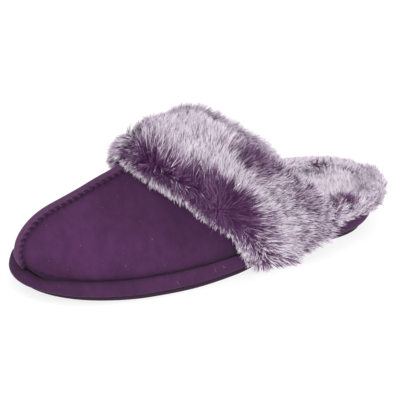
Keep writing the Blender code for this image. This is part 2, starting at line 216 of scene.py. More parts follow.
def lastNormal(turn, side, arch):
    step = 0.003
    turn, side, arch = np.broadcast_arrays(turn, side, arch)
    across = lastPoint(turn, side, np.clip(arch + step, 0, np.pi / 2))
    across = across - lastPoint(turn, side, np.clip(arch - step, 0, np.pi / 2))
    along = lastPoint(np.clip(turn + step, 0, 1), side, arch)
    along = along - lastPoint(np.clip(turn - step, 0, 1), side, arch)
    return unit(np.cross(across, along)) * side[..., None]


# how the suede draws in above the wrap and drops round the toe
toeShape = {
    "tuck": 0.0026,
    "tuckTurns": (0.80, 0.97),
    "tuckHeights": (0.022, 0.007),
    "tuckFoot": 0.40,
    "tuckTip": 0.55,
    "tuckTipTurns": (0.93, 1.0),
    "drop": 0.0024,
    "dropShares": (0.93, 0.99),
    "dropTip": 0.70,
    "dropTipShares": (0.98, 1.0),
    "dropHeight": 0.007,
}


def toeTuck(turn, above):
    top, foot = toeShape["tuckHeights"]
    low = toeShape["tuckFoot"] + (1 - toeShape["tuckFoot"]) * smooth(0.0, foot, above)
    tip = 1 - toeShape["tuckTip"] * smooth(*toeShape["tuckTipTurns"], turn)
    reach = smooth(*toeShape["tuckTurns"], turn) * tip
    return toeShape["tuck"] * smooth(top, foot, above) * low * reach


def tipDrop(share):
    tip = 1 - toeShape["dropTip"] * smooth(*toeShape["dropTipShares"], share)
    return toeShape["drop"] * smooth(*toeShape["dropShares"], share) * tip


def collarArch(x):
    behind = np.clip(last["throat"] - x, 0, None) / (last["throat"] - last["collarLow"])
    down = np.pi / 2 - last["collarDrop"] * np.sqrt(behind)
    eased = (down + last["heelWall"] + np.hypot(down - last["heelWall"], last["collarEase"])) / 2
    return np.where(x >= last["throat"], np.pi / 2, np.minimum(eased, np.pi / 2))


def soleRing(offset, height, count=150):
    # all round the sole: heel, lateral side, toe, medial side
    turn = np.linspace(0, 1, count + 1)
    turn = np.concatenate([turn, turn[-2:0:-1]])
    side = np.concatenate([np.ones(count + 1), -np.ones(count - 1)])
    edge, out = feather(turn, side)
    plan = edge + out * offset(edge[:, 0], side)[:, None]
    return np.column_stack([plan, height(edge[:, 0], side)])


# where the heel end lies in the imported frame, found from the outsole's box
outsoleLow, outsoleHigh = (np.array(corner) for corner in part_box("outsole"))
ownOutline = soleRing(lambda x, side: -planValue("undercut", x), lambda x, side: soleBottom(x))
heelPoint = (outsoleLow + outsoleHigh) / 2 - (ownOutline.min(0) + ownOutline.max(0)) / 2
heelPoint[2] = outsoleLow[2]
print("heel end at", [round(float(v), 4) for v in heelPoint])


# meshes
sideName = {1: "near", -1: "far"}


def addObject(name, data):
    made = bpy.data.objects.new(name, data)
    bpy.context.scene.collection.objects.link(made)
    return made


def gridFaces(rows, cols, start=0, closed=False, flip=False):
    i, j = np.meshgrid(np.arange(rows - 1), np.arange(cols if closed else cols - 1), indexing="ij")
    k = (j + 1) % cols
    quads = start + np.stack([i * cols + j, i * cols + k, (i + 1) * cols + k, (i + 1) * cols + j], -1)
    quads = quads.reshape(-1, 4)
    return quads[:, ::-1] if flip else quads


def newPiece(name, points, quads, tris, material, slot, node=None, weld=0.0, **values):
    mesh = bpy.data.meshes.new(name)
    quads = np.asarray(quads, np.int32).reshape(-1, 4)
    tris = np.asarray(tris, np.int32).reshape(-1, 3)
    corners = np.concatenate([quads.ravel(), tris.ravel()])
    starts = np.concatenate([np.arange(len(quads)) * 4, len(quads) * 4 + np.arange(len(tris)) * 3])
    mesh.vertices.add(len(points))
    mesh.vertices.foreach_set("co", (points + heelPoint).astype(np.float32).ravel())
    mesh.loops.add(len(corners))
    mesh.loops.foreach_set("vertex_index", corners)
    mesh.polygons.add(len(starts))
    mesh.polygons.foreach_set("loop_start", starts.astype(np.int32))
    mesh.update(calc_edges=True)
    for valueName, numbers in values.items():
        made = mesh.attributes.new(valueName, "FLOAT", "POINT")
        made.data.foreach_set("value", np.asarray(numbers, np.float32).ravel())
    if weld:
        bm = bmesh.new()
        bm.from_mesh(mesh)
        bmesh.ops.remove_doubles(bm, verts=bm.verts, dist=weld)
        bmesh.ops.dissolve_degenerate(bm, edges=bm.edges, dist=weld)
        bm.to_mesh(mesh)
        bm.free()
    mesh.validate()
    mesh.shade_smooth()
    mesh.materials.append(material)
    piece = addObject(name, mesh)
    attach(piece, "root")
    if node:
        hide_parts(node)
    print(name, len(quads) * 2 + len(tris), "triangles")
    return piece


def sheetFaces(rows, cols, flip=False, ends=True):
    # a closed sheet: the front grid's points come first, then the back's
    second = rows * cols
    quads = [gridFaces(rows, cols, 0, flip=flip), gridFaces(rows, cols, second, flip=not flip)]
    i, j = np.arange(rows - 1) * cols, np.arange(cols - 1)
    edges = [(i, cols, flip), (i + cols - 1, cols, not flip)]
    if ends:
        edges += [(j, 1, not flip), (j + second - cols, 1, flip)]
    for start, step, turned in edges:
        side = np.stack([start, start + step, second + start + step, second + start], -1)
        quads.append(side[:, ::-1] if turned else side)
    return np.concatenate(quads)


def soleSolid(rings):
    # rings from the bottom up, closed by strips across
    count, half = len(rings[0]), len(rings[0]) // 2
    quads = [gridFaces(len(rings), count, closed=True, flip=True)]
    i = np.arange(half)
    strip = np.stack([i, i + 1, (count - i - 1) % count, (count - i) % count], -1)
    quads += [strip, (len(rings) - 1) * count + strip[:, ::-1]]
    return np.concatenate(rings), np.concatenate(quads)


# lines of points
def runs(line):
    return np.concatenate([[0], np.cumsum(np.linalg.norm(np.diff(line, axis=0), axis=1))])


def pointsAt(at, length, line):
    return np.stack([np.interp(at, length, line[:, i]) for i in range(3)], -1)


# materials
def setNode(tree, made, **values):
    for name, value in values.items():
        plain = name.replace("_", " ")
        if plain in made.inputs:
            feed(tree, made.inputs[plain], value)
        else:
            setattr(made, name, value)
    return made


def feed(tree, target, value):
    # a link from another node's output, or a plain value
    if isinstance(value, bpy.types.NodeSocket):
        tree.links.new(value, target)
    else:
        target.default_value = (*value, 1) if target.type == "RGBA" else value


def node(tree, kind, **values):
    return setNode(tree, tree.nodes.new(kind), **values)


def noise(tree, vector, scale, detail, roughness):
    made = node(tree, "ShaderNodeTexNoise", Vector=vector, Scale=scale, Detail=detail, Roughness=roughness)
    return made.outputs["Fac"]


def mapRange(tree, value, low, high, toLow=0.0, toHigh=1.0):
    made = node(
        tree, "ShaderNodeMapRange", interpolation_type="SMOOTHSTEP", Value=value,
        From_Min=low, From_Max=high, To_Min=toLow, To_Max=toHigh,
    )
    return made.outputs["Result"]


def mixColour(tree, share, first, second):
    made = node(tree, "ShaderNodeMix", data_type="RGBA")
    for place, value in ((0, share), (6, first), (7, second)):
        feed(tree, made.inputs[place], value)
    return made.outputs[2]


def mathNode(tree, operation, *values):
    made = node(tree, "ShaderNodeMath", operation=operation)
    for target, value in zip(made.inputs, values):
        feed(tree, target, value)
    return made.outputs[0]


def objectPlace(tree):
    return node(tree, "ShaderNodeTexCoord").outputs["Object"]


def attribute(tree, name):
    return node(tree, "ShaderNodeAttribute", attribute_name=name).outputs["Fac"]


def newGroup(name, outputs, **inputs):
    # sockets by kind: Vector, Float or Color
    tree = bpy.data.node_groups.new(name, "ShaderNodeTree")
    for way, sockets in (("INPUT", inputs), ("OUTPUT", outputs)):
        for socketName, kind in sockets.items():
            plain = socketName.replace("_", " ")
            tree.interface.new_socket(name=plain, in_out=way, socket_type="NodeSocket" + kind)
    return tree, node(tree, "NodeGroupInput").outputs, node(tree, "NodeGroupOutput")


def suedeNapGroup():
    # brushed patches, fine nap, a few specks of lint, and painted shade mixed in by the Shade input
    tree, enter, leave = newGroup(
        "suedeNap", {"Colour": "Color", "Height": "Float"}, Vector="Vector", Dark="Color", Light="Color",
        Lint="Color", Lint_Amount="Float", Shade="Float", Crease="Color",
    )
    vector = enter["Vector"]
    patches = mapRange(tree, noise(tree, vector, 34, 4, 0.6), 0.3, 0.7)
    stretch = node(tree, "ShaderNodeMapping", Vector=vector, Scale=(1.0, 0.35, 0.6))
    brushed = mapRange(tree, noise(tree, stretch.outputs[0], 240, 3, 0.6), 0.3, 0.7)
    nap = noise(tree, vector, 800, 3, 0.7)
    share = mathNode(tree, "MULTIPLY_ADD", brushed, 0.30, mathNode(tree, "MULTIPLY", patches, 0.45))
    share = mathNode(tree, "MULTIPLY_ADD", nap, 0.42, share)
    colour = mixColour(tree, share, enter["Dark"], enter["Light"])
    specks = node(tree, "ShaderNodeTexVoronoi", Vector=vector, Scale=150.0).outputs
    near = mapRange(tree, specks["Distance"], 0.05, 0.11, 1.0, 0.0)
    split = node(tree, "ShaderNodeSeparateColor", Color=specks["Color"])
    few = mathNode(tree, "GREATER_THAN", split.outputs[0], 0.86)
    lint = mathNode(tree, "MULTIPLY", mathNode(tree, "MULTIPLY", near, few), enter["Lint Amount"])
    colour = mixColour(tree, lint, colour, enter["Lint"])
    # painted shade: the colour goes towards the dark shade colour where the shade attribute is high
    colour = mixColour(tree, enter["Shade"], colour, enter["Crease"])
    height = mathNode(tree, "MULTIPLY_ADD", nap, 0.6, mathNode(tree, "MULTIPLY", brushed, 0.4))
    setNode(tree, leave, Colour=colour, Height=height)
    return tree


def mottleGroup():
    # two colours in soft clouds
    tree, enter, leave = newGroup(
        "mottle", {"Colour": "Color", "Share": "Float"}, Vector="Vector", Scale="Float", Detail="Float",
        Grain="Float", Low="Float", High="Float", Dark="Color", Light="Color",
    )
    cloud = noise(tree, enter["Vector"], enter["Scale"], enter["Detail"], enter["Grain"])
    share = mapRange(tree, cloud, enter["Low"], enter["High"])
    setNode(tree, leave, Colour=mixColour(tree, share, enter["Dark"], enter["Light"]), Share=share)
    return tree


def furColourGroup():
    # frost runs from 0 at the root to 1 at the tip, tone differs from hair to hair
    tree, enter, leave = newGroup(
        "furColour", {"Colour": "Color"}, Frost="Float", Tone="Float", Root="Color", Middle="Color",
        Tip="Color", Grey="Color",
    )
    frost, tone, middle = enter["Frost"], enter["Tone"], enter["Middle"]
    root = mixColour(tree, mapRange(tree, tone, 0.15, 1.0, 0.0, 0.85), enter["Root"], middle)
    lower = mixColour(tree, mapRange(tree, frost, 0.0, 0.42), root, middle)
    whole = mixColour(tree, mapRange(tree, frost, 0.35, 1.0), lower, enter["Tip"])
    greyed = mathNode(tree, "MULTIPLY", mathNode(tree, "MULTIPLY", tone, frost), 0.45)
    setNode(tree, leave, Colour=mixColour(tree, greyed, whole, enter["Grey"]))
    return tree


def newMaterial(name, **values):
    material = bpy.data.materials.new(name)
    material.use_nodes = True
    tree = material.node_tree
    return material, tree, setNode(tree, tree.nodes["Principled BSDF"], **values)


suedeNap, mottle, furColour = suedeNapGroup(), mottleGroup(), furColourGroup()


def suedeMaterial(name, dark, light, lintAmount, bump, sheen):
    material, tree, shader = newMaterial(
        name, Roughness=0.92, Specular_IOR_Level=0.15, Sheen_Weight=sheen, Sheen_Roughness=0.4,
        Sheen_Tint=(0.62, 0.45, 0.66),
    )
    nap = node(
        tree, "ShaderNodeGroup", node_tree=suedeNap, Vector=objectPlace(tree), Dark=dark, Light=light,
        Lint=(0.42, 0.33, 0.45), Lint_Amount=lintAmount, Shade=attribute(tree, "shade"),
        Crease=(0.018, 0.006, 0.021),
    )
    relief = node(tree, "ShaderNodeBump", Strength=bump, Distance=0.0006, Height=nap.outputs["Height"])
    setNode(tree, shader, Base_Color=nap.outputs["Colour"], Normal=relief.outputs["Normal"])
    return material


def mottledMaterial(name, dark, light, scale, detail, grain=0.5, low=0.3, roughness=0.9, specular=0.1):
    material, tree, shader = newMaterial(name, Roughness=roughness, Specular_IOR_Level=specular)
    mix = node(
        tree, "ShaderNodeGroup", node_tree=mottle, Vector=objectPlace(tree), Scale=scale, Detail=detail,
        Grain=grain, Low=low, High=1 - low, Dark=dark, Light=light,
    )
    setNode(tree, shader, Base_Color=mix.outputs["Colour"])
    return material, shader, mix.outputs["Share"]


def soleMaterial():
    # pebbled rubber
    material, shader, share = mottledMaterial(
        "soleRubber", (0.022, 0.0055, 0.019), (0.038, 0.0105, 0.033), 60, 4, 0.6, specular=0.3
    )
    tree = material.node_tree
    pebbles = node(tree, "ShaderNodeTexVoronoi", Vector=objectPlace(tree), Scale=700.0)
    relief = node(tree, "ShaderNodeBump", Strength=0.4, Distance=0.0004, Height=pebbles.outputs["Distance"])
    rough = mapRange(tree, share, 0.0, 1.0, 0.62, 0.8)
    setNode(tree, shader, Roughness=rough, Normal=relief.outputs["Normal"])
    return material


def furMaterial(name, **colours):
    material, tree, shader = newMaterial(name, Roughness=0.75, Specular_IOR_Level=0.2)
    frost, tone = attribute(tree, "frost"), attribute(tree, "tone")
    mix = node(tree, "ShaderNodeGroup", node_tree=furColour, Frost=frost, Tone=tone, **colours)
    setNode(tree, shader, Base_Color=mix.outputs["Colour"])
    return material


suede = {
    "vamp": suedeMaterial(
        "vampSuede", (0.045, 0.0140, 0.048), (0.086, 0.0265, 0.092), lintAmount=0.06, bump=0.35, sheen=0.12
    ),
    "wrap": suedeMaterial(
        "wrapSuede", (0.042, 0.0140, 0.045), (0.075, 0.0255, 0.080), lintAmount=0.06, bump=0.35, sheen=0.14
    ),
    "strip": suedeMaterial(
        "stripSuede", (0.060, 0.0200, 0.064), (0.122, 0.0480, 0.122), lintAmount=0.25, bump=0.5, sheen=0.30
    ),
}
furLooks = {
    "cuff": furMaterial(
        "cuffFur", Root=(0.070, 0.016, 0.078), Middle=(0.21, 0.095, 0.22), Tip=(0.95, 0.88, 0.96),
        Grey=(0.60, 0.50, 0.63),
    ),
    "lining": furMaterial(
        "liningFur", Root=(0.26, 0.17, 0.28), Middle=(0.56, 0.45, 0.58), Tip=(0.97, 0.90, 0.97),
        Grey=(0.68, 0.59, 0.69),
    ),
}
backing = {
    "cuff": mottledMaterial("cuffBacking", (0.026, 0.006, 0.030), (0.060, 0.016, 0.066), 500, 3, 0.6)[0],
    "rim": mottledMaterial("rimBacking", (0.16, 0.09, 0.17), (0.30, 0.21, 0.31), 500, 3, 0.6)[0],
}
thread = mottledMaterial(
    "darkThread", (0.020, 0.006, 0.023), (0.042, 0.014, 0.046), 900, 1, low=0.35, roughness=0.7,
    specular=0.25,
)[0]
lintLook = mottledMaterial("lint", (0.14, 0.085, 0.155), (0.28, 0.20, 0.31), 700, 2)[0]
rubber = soleMaterial()
print("materials made")

# outsole: thin sheet with a rounded edge
outsole = {"round": 0.0007, "steps": 4, "innerInset": 0.004}


def makeOutsole():
    steps = [(outsole["innerInset"], 0.0)]
    for angle in np.linspace(0, math.pi / 2, outsole["steps"] + 1):
        inset, lift = 1 - math.sin(angle), 1 - math.cos(angle)
        steps.append((outsole["round"] * inset, outsole["round"] * lift))
    steps.append((0.0, last["outsole"]))
    rings = [
        soleRing(lambda x, side: -planValue("undercut", x) - inset, lambda x, side: soleBottom(x) + lift)
        for inset, lift in steps
    ]
    points, quads = soleSolid(rings)
    newPiece("outsole_sheet", points, quads, [], rubber, "outsole", "outsole", weld=1e-6)


# midsole: foam platform in a suede wrap, gathered a little round the toe
wrap = {
    "rows": 30,
    "gathers": 0.00018,
    "gatherPitch": 0.0075,
    "gatherSpan": (0.78, 0.95),
    "lip": 0.0006,
    "lipStart": math.radians(15),
    "farStart": (0.86, 0.975),
    "farEnd": (1.003, 0.975),
    "farRise": 0.0036,
    "farPower": 0.7,
    "farSquare": 0.30,
    "farUnder": 0.3,
    "farUnderSpan": (0.0, 1.2),
    "creaseShade": 0.18,
    "creaseSpan": (0.55, 0.95),
    "footCrease": 0.6,
    "footSpan": (-1.25, -1.5),
}


def farToe(x, side):
    # the band stands up round the far side of the toe
    share = x / last["length"]
    return smooth(*wrap["farStart"], share) * smooth(*wrap["farEnd"], share) * (side < 0)


def makeWrap():
    rings, shade = [], []
    for row in range(wrap["rows"] + 1):
        angle = math.pi * (row / wrap["rows"] - 0.5)
        topShare, level = (1 + math.sin(angle)) / 2, max(math.cos(angle), 0.0)
        t = max(0.0, (angle - wrap["lipStart"]) / (math.pi / 2 - wrap["lipStart"]))

        def offset(x, side):
            gathers = wrap["gathers"] * np.sin(2 * np.pi * x / wrap["gatherPitch"])
            gathers = gathers * smooth(*wrap["gatherSpan"], x / last["length"]) * level
            far = farToe(x, side)
            bulge = planValue("bulge", x) * level ** (1 - wrap["farSquare"] * far * (angle > 0))
            bulge = bulge * (1 - wrap["farUnder"] * far * smooth(*wrap["farUnderSpan"], -angle))
            return bulge - planValue("undercut", x) * (1 - topShare) + gathers

        def height(x, side):
            low = soleBottom(x) + last["outsole"] + last["gap"]
            rise = wrap["lip"] * 4 * t * (1 - t)
            rise = rise + wrap["farRise"] * farToe(x, side) * level ** wrap["farPower"]
            drop = tipDrop(x / last["length"]) * topShare**2
            return low + (soleTop(x) - low) * topShare + rise - drop

        rings.append(soleRing(offset, height))
        # painted shade in the crease under the vamp and along the band's foot by the outsole
        crease = smooth(*wrap["creaseSpan"], t) + wrap["footCrease"] * smooth(*wrap["footSpan"], angle)
        shade.append(np.full(len(rings[-1]), wrap["creaseShade"] * crease))
    points, quads = soleSolid(rings)
    shade = np.concatenate(shade)
    newPiece("sole_wrap", points, quads, [], suede["wrap"], "midsole", "midsole", weld=1e-6, shade=shade)


# insole under its fur
insole = {"edge": 0.003}


def makeInsole():
    inset, edge, top = last["wall"] + 3 * last["gap"], insole["edge"], last["insole"]
    steps = (
        (0, last["gap"]), (0, top - edge), (edge / 3, top - edge / 4), (edge, top),
        (4 * edge, top - edge / 3),
    )
    rings = [
        soleRing(lambda x, side: 0 * x - inset - inward, lambda x, side: soleTop(x) + lift)
        for inward, lift in steps
    ]
    points, quads = soleSolid(rings)
    piece = newPiece("insole_sock", points, quads, [], furLooks["lining"], "insole", "insole", weld=1e-6)


# vamp and heel wall; each crease is a soft trough between two places in plan
vamp = {
    "behind": 60,
    "before": 80,
    "rows": 44,
    "crowding": 1.8,
    "pucker": 0.00030,
    "puckerPitch": 0.0040,
    "puckerReach": (0.0100, 0.0040),
    "puckerStart": 0.16,
    "groove": 0.0006,
    "grooveReach": 0.0045,
    "seamPlace": 0.0044,
    "seamWidth": 0.0009,
    "seamStart": 0.17,
    "seamShade": 0.20,
    "footShade": 0.28,
    "footReach": (0.0026, 0.0004),
    "lowShade": 0.18,
    "lowReach": (0.010, 0.001),
    "cuffShade": 0.52,
    "cuffShadeReach": 0.048,
    "ridgeShare": 0.45,
    "farTipShade": 0.6,
    "farTipTurns": (0.90, 0.97),
    "farTipHeights": (0.024, 0.010),
    "creaseEnds": ((-0.25, 0.2), (1.25, 0.8)),
    # from x and y, to x and y, width, depth
    "creases": (
        (0.176, 0.006, 0.140, 0.046, 0.0045, 0.0006),
        (0.168, 0.034, 0.150, 0.050, 0.0060, 0.0005),
        (0.205, 0.020, 0.190, 0.036, 0.0100, 0.0004),
        (0.176, -0.006, 0.140, -0.042, 0.0045, 0.0006),
        (0.205, -0.022, 0.186, -0.036, 0.0090, 0.0004),
        (0.200, 0.010, 0.226, 0.008, 0.0060, -0.0003),
    ),
    # where the fur's front edge crosses, by degrees up the section
    "furEdge": ((0, 16, 37, 62, 90), (0.122, 0.133, 0.151, 0.168, 0.178)),
}


def creaseDepth(points):
    depth = np.zeros(points.shape[:-1])
    for fromX, fromY, toX, toY, width, deep in vamp["creases"]:
        start, run = np.array([fromX, fromY]), np.array([toX - fromX, toY - fromY])
        t = ((points[..., :2] - start) @ run) / (run @ run)
        away = points[..., :2] - start - np.clip(t, 0, 1)[..., None] * run
        fade = smooth(*vamp["creaseEnds"][0], t) * smooth(*vamp["creaseEnds"][1], t)
        depth += deep * fade * np.exp(-(away**2).sum(-1) / width**2)
    return depth


def puckerDepth(points):
    # small gathers where the strip is sewn to the panels
    reach = smooth(*vamp["puckerReach"], np.abs(points[..., 1]))
    wave = 0.5 - 0.5 * np.cos(2 * np.pi * (points[..., 0] + 0.5 * points[..., 2]) / vamp["puckerPitch"])
    return vamp["pucker"] * reach * wave * (points[..., 0] > vamp["puckerStart"])


def makeVamp():
    throatTurn = turnAt(last["throat"])
    left = 1 - np.arange(vamp["behind"]) / vamp["behind"]
    turns = np.concatenate([
        throatTurn * (1 - left ** vamp["crowding"]),
        np.linspace(throatTurn, 1, vamp["before"] + 1),
    ])
    turn, row = np.meshgrid(turns, np.linspace(0, 1, vamp["rows"] + 1), indexing="ij")
    x = stationX(turn)
    arch = collarArch(x) * row
    cuffShade = vamp["cuffShade"] * (1 - vamp["ridgeShare"] * arch / (np.pi / 2))
    furEdge = np.interp(np.degrees(arch), *vamp["furEdge"])
    points, quads, shade = [], [], []
    for side in (1, -1):
        outer, normal = lastPoint(turn, side, arch), lastNormal(turn, side, arch)
        inner = outer - normal * last["wall"]
        above = outer[..., 2] - soleTop(x) - last["gap"]
        relief = creaseDepth(outer) + puckerDepth(outer)
        inset = vamp["groove"] * smooth(vamp["grooveReach"], 0.0, above) + toeTuck(turn, above)
        outer = outer - normal * relief[..., None] - unit(normal * [1, 1, 0]) * inset[..., None]
        outer[..., 2] -= tipDrop(x / last["length"]) * smooth(toeShape["dropHeight"], 0.0, above)
        # painted shade: beside the strip's seam, in the crease above the wrap, low on the vamp, towards the
        # fur's front edge (painted shadow of the fur) and on the far side of the tip
        seam = hump(np.abs(outer[..., 1]), vamp["seamPlace"], vamp["seamWidth"])
        seam = seam * (outer[..., 0] > vamp["seamStart"])
        dark = vamp["footShade"] * smooth(*vamp["footReach"], above)
        dark = dark + vamp["lowShade"] * smooth(*vamp["lowReach"], above) + vamp["seamShade"] * seam
        dark = dark + cuffShade * smooth(vamp["cuffShadeReach"], 0.0, x - furEdge)
        farTipShade = smooth(*vamp["farTipTurns"], turn) * smooth(*vamp["farTipHeights"], above) * (side < 0)
        dark = dark + vamp["farTipShade"] * farTipShade
        quads.append(sheetFaces(*turn.shape, side < 0, ends=False) + len(points) * turn.size)
        points += [outer.reshape(-1, 3), inner.reshape(-1, 3)]
        shade += [np.clip(dark, 0, 1).ravel(), np.zeros(dark.size)]
    points, quads, shade = (np.concatenate(parts) for parts in (points, quads, shade))
    newPiece("vamp_shell", points, quads, [], suede["vamp"], "upper", "upper", weld=2e-6, shade=shade)


# raised strip over the centre seam, whipped down along both edges
strip = {
    "halfWidth": 0.0036,
    "height": 0.0024,
    "sag": 0.0006,
    "rear": 0.1815,
    "foot": math.radians(1.5),
    "ridgeSteps": 60,
    "toeSteps": 70,
    "tail": 0.0034,
    "tailSteps": 6,
    "rings": 240,
    "arc": 24,
    "endTaper": 0.008,
    "endShare": 0.35,
    "stitchPitch": 0.0043,
    "stitchDip": 0.00040,
    "stitchSlant": 0.010,
    "stitchFlank": (0.72, 0.97),
    "footDepth": 0.0022,
    "footWidth": 0.92,
    "pitShade": 0.42,
    "edgeShade": 0.26,
    "edgeSpan": (0.80, 1.0),
    "endShade": 1.4,
    "rearShade": 0.14,
    "rearSpan": (0.070, 0.045),
}


def ridgeLine():
    rear = turnAt(strip["rear"])
    ridge = lastPoint(np.linspace(rear, 1, strip["ridgeSteps"], endpoint=False), 1, np.pi / 2)
    toe = lastPoint(1.0, 1, np.linspace(np.pi / 2, strip["foot"], strip["toeSteps"] + 1))
    above = toe[:, 2] - soleTop(last["length"])
    toe[:, 0] -= toeTuck(1.0, above)
    toe[:, 2] -= tipDrop(1.0) * smooth(toeShape["dropHeight"], 0.0, above)
    # the tail turns down into the crease over the wrap
    t = np.linspace(0, 1, strip["tailSteps"] + 1)[1:]
    way = unit(blend(unit(toe[-1] - toe[-2]), np.array([0.0, 0.0, -1.0]), t))
    tail = toe[-1] + strip["tail"] / strip["tailSteps"] * np.cumsum(way, 0)
    line = np.concatenate([ridge, toe, tail])
    length = runs(line)
    even = np.linspace(0, length[-1], strip["rings"])
    line = pointsAt(even, length, line)
    along = unit(np.gradient(line, axis=0))
    return line, np.stack([-along[:, 2], 0 * along[:, 0], along[:, 0]], -1), even


def makeStrip():
    line, up, length = ridgeLine()
    angle = np.pi * np.arange(strip["arc"] + 1) / strip["arc"]
    bow, flank = np.sin(angle) ** 0.8, np.abs(np.cos(angle))
    along = length[:, None] + strip["stitchSlant"] * (flank - 0.9)
    pit = 0.5 - 0.5 * np.cos(2 * np.pi * along / strip["stitchPitch"])
    pit = pit * smooth(*strip["stitchFlank"], flank)
    taper = smooth(0.0, strip["endTaper"], length[-1] - length)[:, None]
    taper = strip["endShare"] + (1 - strip["endShare"]) * taper
    lift = last["curvedGap"] - strip["sag"] + (strip["height"] * taper + strip["sag"]) * bow
    lift = lift - strip["stitchDip"] * pit * bow
    width = strip["halfWidth"] * np.cos(angle) * (0.8 + 0.2 * taper)
    width = width - np.sign(np.cos(angle)) * strip["stitchDip"] * pit
    rings = line[:, None] + up[:, None] * lift[..., None]
    rings[..., 1] += width
    feet = np.repeat((line - up * strip["footDepth"])[:, None], 2, 1)
    feet[..., 1] += strip["footWidth"] * width[:, [-1, 0]]
    rings = np.concatenate([rings, feet], 1)
    rows, cols = rings.shape[:2]
    quads = gridFaces(rows, cols, closed=True)
    ends = np.arange(1, cols - 1)
    first = np.stack([0 * ends, ends + 1, ends], -1)
    tris = np.concatenate([first, (rows - 1) * cols + first[:, ::-1]])
    # painted shade: in the stitch pits, along both flanks, over the tapered end and under the fur at the
    # rear (painted shadow of the fur); the feet are painted fully dark as shade in the crease by the vamp
    shade = strip["pitShade"] * pit**1.5 + strip["edgeShade"] * smooth(*strip["edgeSpan"], flank)
    shade = shade + strip["endShade"] * (1 - taper)
    shade = shade + strip["rearShade"] * smooth(*strip["rearSpan"], length)[:, None]
    shade = np.clip(np.concatenate([shade, 0 * taper + 1, 0 * taper + 1], 1), 0, 1)
    points = rings.reshape(-1, 3)
    newPiece("seam_roll", points, quads, tris, suede["strip"], "seam_strip", "seam_strip", shade=shade)


def tubes(paths, radius, sides=6):
    # a closed tube along each path, tapered at both ends
    count, steps = paths.shape[:2]
    along = unit(np.gradient(paths, axis=1))
    across = unit(np.cross(along, np.array([0.31, 0.17, 0.93])))
    other = np.cross(along, across)
    angle = 2 * np.pi * np.arange(sides) / sides
    taper = np.sin(np.pi * np.linspace(0.12, 0.88, steps)) ** 0.5
    ring = across[:, :, None] * np.cos(angle)[:, None] + other[:, :, None] * np.sin(angle)[:, None]
    points = paths[:, :, None] + ring * (radius * taper)[:, None, None]
    one = gridFaces(steps, sides, closed=True)
    quads = (np.arange(count) * steps * sides)[:, None, None] + one
    fan = np.stack([np.zeros(sides - 2, int), np.arange(2, sides), np.arange(1, sides - 1)], -1)
    caps = np.concatenate([fan, (steps - 1) * sides + fan[:, ::-1]])
    tris = (np.arange(count) * steps * sides)[:, None, None] + caps
    return points.reshape(-1, 3), quads.reshape(-1, 4), tris.reshape(-1, 3)


stitches = {
    "steps": 6,
    "slant": -0.0022,
    "radius": 0.00042,
    "inner": 0.0031,
    "outer": 0.0040,
    "lifts": (0.0017, -0.0004, 0.0003),
    "stop": 0.0194,
    "uneven": 0.0002,
    "creaseStart": 0.10,
    "creaseRadius": 0.00020,
    "creaseLength": 0.0050,
    "creasePitch": 0.0066,
    "creaseArch": 0.026,
    "creaseDepth": 0.0006,
    "seed": 4,
}


def makeStitches():
    line, up, length = ridgeLine()
    draw = np.random.default_rng(stitches["seed"])
    at = np.arange(strip["stitchPitch"] * 0.5, length[-1] - stitches["stop"], strip["stitchPitch"])
    t = np.linspace(0, 1, stitches["steps"])
    out = stitches["inner"] + (stitches["outer"] - stitches["inner"]) * t
    high, low, arched = stitches["lifts"]
    lift = high * (1 - t) + low * t + arched * np.sin(np.pi * t)
    paths = []
    for side in (1, -1):
        for place in at + draw.uniform(-stitches["uneven"], stitches["uneven"], len(at)):
            where = place + stitches["slant"] * (t - 0.5)
            path = pointsAt(where, length, line) + pointsAt(where, length, up) * lift[:, None]
            path[:, 1] += side * out
            paths.append(path)
    points, quads, tris = tubes(np.array(paths), stitches["radius"])
    newPiece("seam_stitches", points, quads, tris, thread, "seam_strip")

    # long stitches in the crease between vamp and wrap
    paths = []
    turn, arch = np.linspace(turnAt(stitches["creaseStart"]), 1, 400), stitches["creaseArch"]
    for side in (1, -1):
        line = lastPoint(turn, side, arch) - lastNormal(turn, side, arch) * stitches["creaseDepth"]
        length = runs(line)
        for place in np.arange(0.001, length[-1] - stitches["creaseLength"], stitches["creasePitch"]):
            paths.append(pointsAt(place + stitches["creaseLength"] * t, length, line))
    points, quads, tris = tubes(np.array(paths), stitches["creaseRadius"])
    newPiece("crease_stitches", points, quads, tris, thread, "upper")


# specks and fibres of fur that have settled on the suede
lint = {
    "radius": 0.00014,
    # turn, arch, length, way
    "vamp": (
        (0.922, 64.2, 0.0008, 0.3),
        (0.792, 38.0, 0.0007, 1.2),
        (0.884, 19.0, 0.0007, 2.2),
        (0.831, 11.8, 0.0005, 0.1),
        (0.702, 15.4, 0.0011, 1.9),
        (0.699, 12.2, 0.0008, 0.7),
        (0.651, 74.2, 0.0005, 2.8),
        (0.713, 65.1, 0.0006, 1.5),
        (0.645, 30.8, 0.0009, 2.1),
        (0.777, 56.5, 0.0005, 0.9),
        (0.630, 9.5, 0.0012, 1.5),
        (0.860, 54.7, 0.0005, 2.5),
        (0.656, 44.8, 0.0006, 0.4),
        (0.676, 68.3, 0.0005, 1.0),
    ),
    # turn, angle up the band, length, way
    "wrap": (
        (0.611, -5.0, 0.0040, 2.2),
        (0.541, 17.0, 0.0030, 1.7),
        (0.523, 14.0, 0.0030, 2.6),
        (0.738, 32.0, 0.0009, 0.5),
        (0.849, 40.0, 0.0007, 1.1),
    ),
    # metres along the strip, in turn near its crown and on its flank
    "strip": (0.012, 0.031, 0.047, 0.060, 0.071, 0.0745, 0.0795, 0.084),
    "stripLength": 0.0006,
    "stripLift": 0.0021,
    # lean and shift aside
    "stripSides": ((0.4, 0.0010), (0.9, 0.0022)),
}


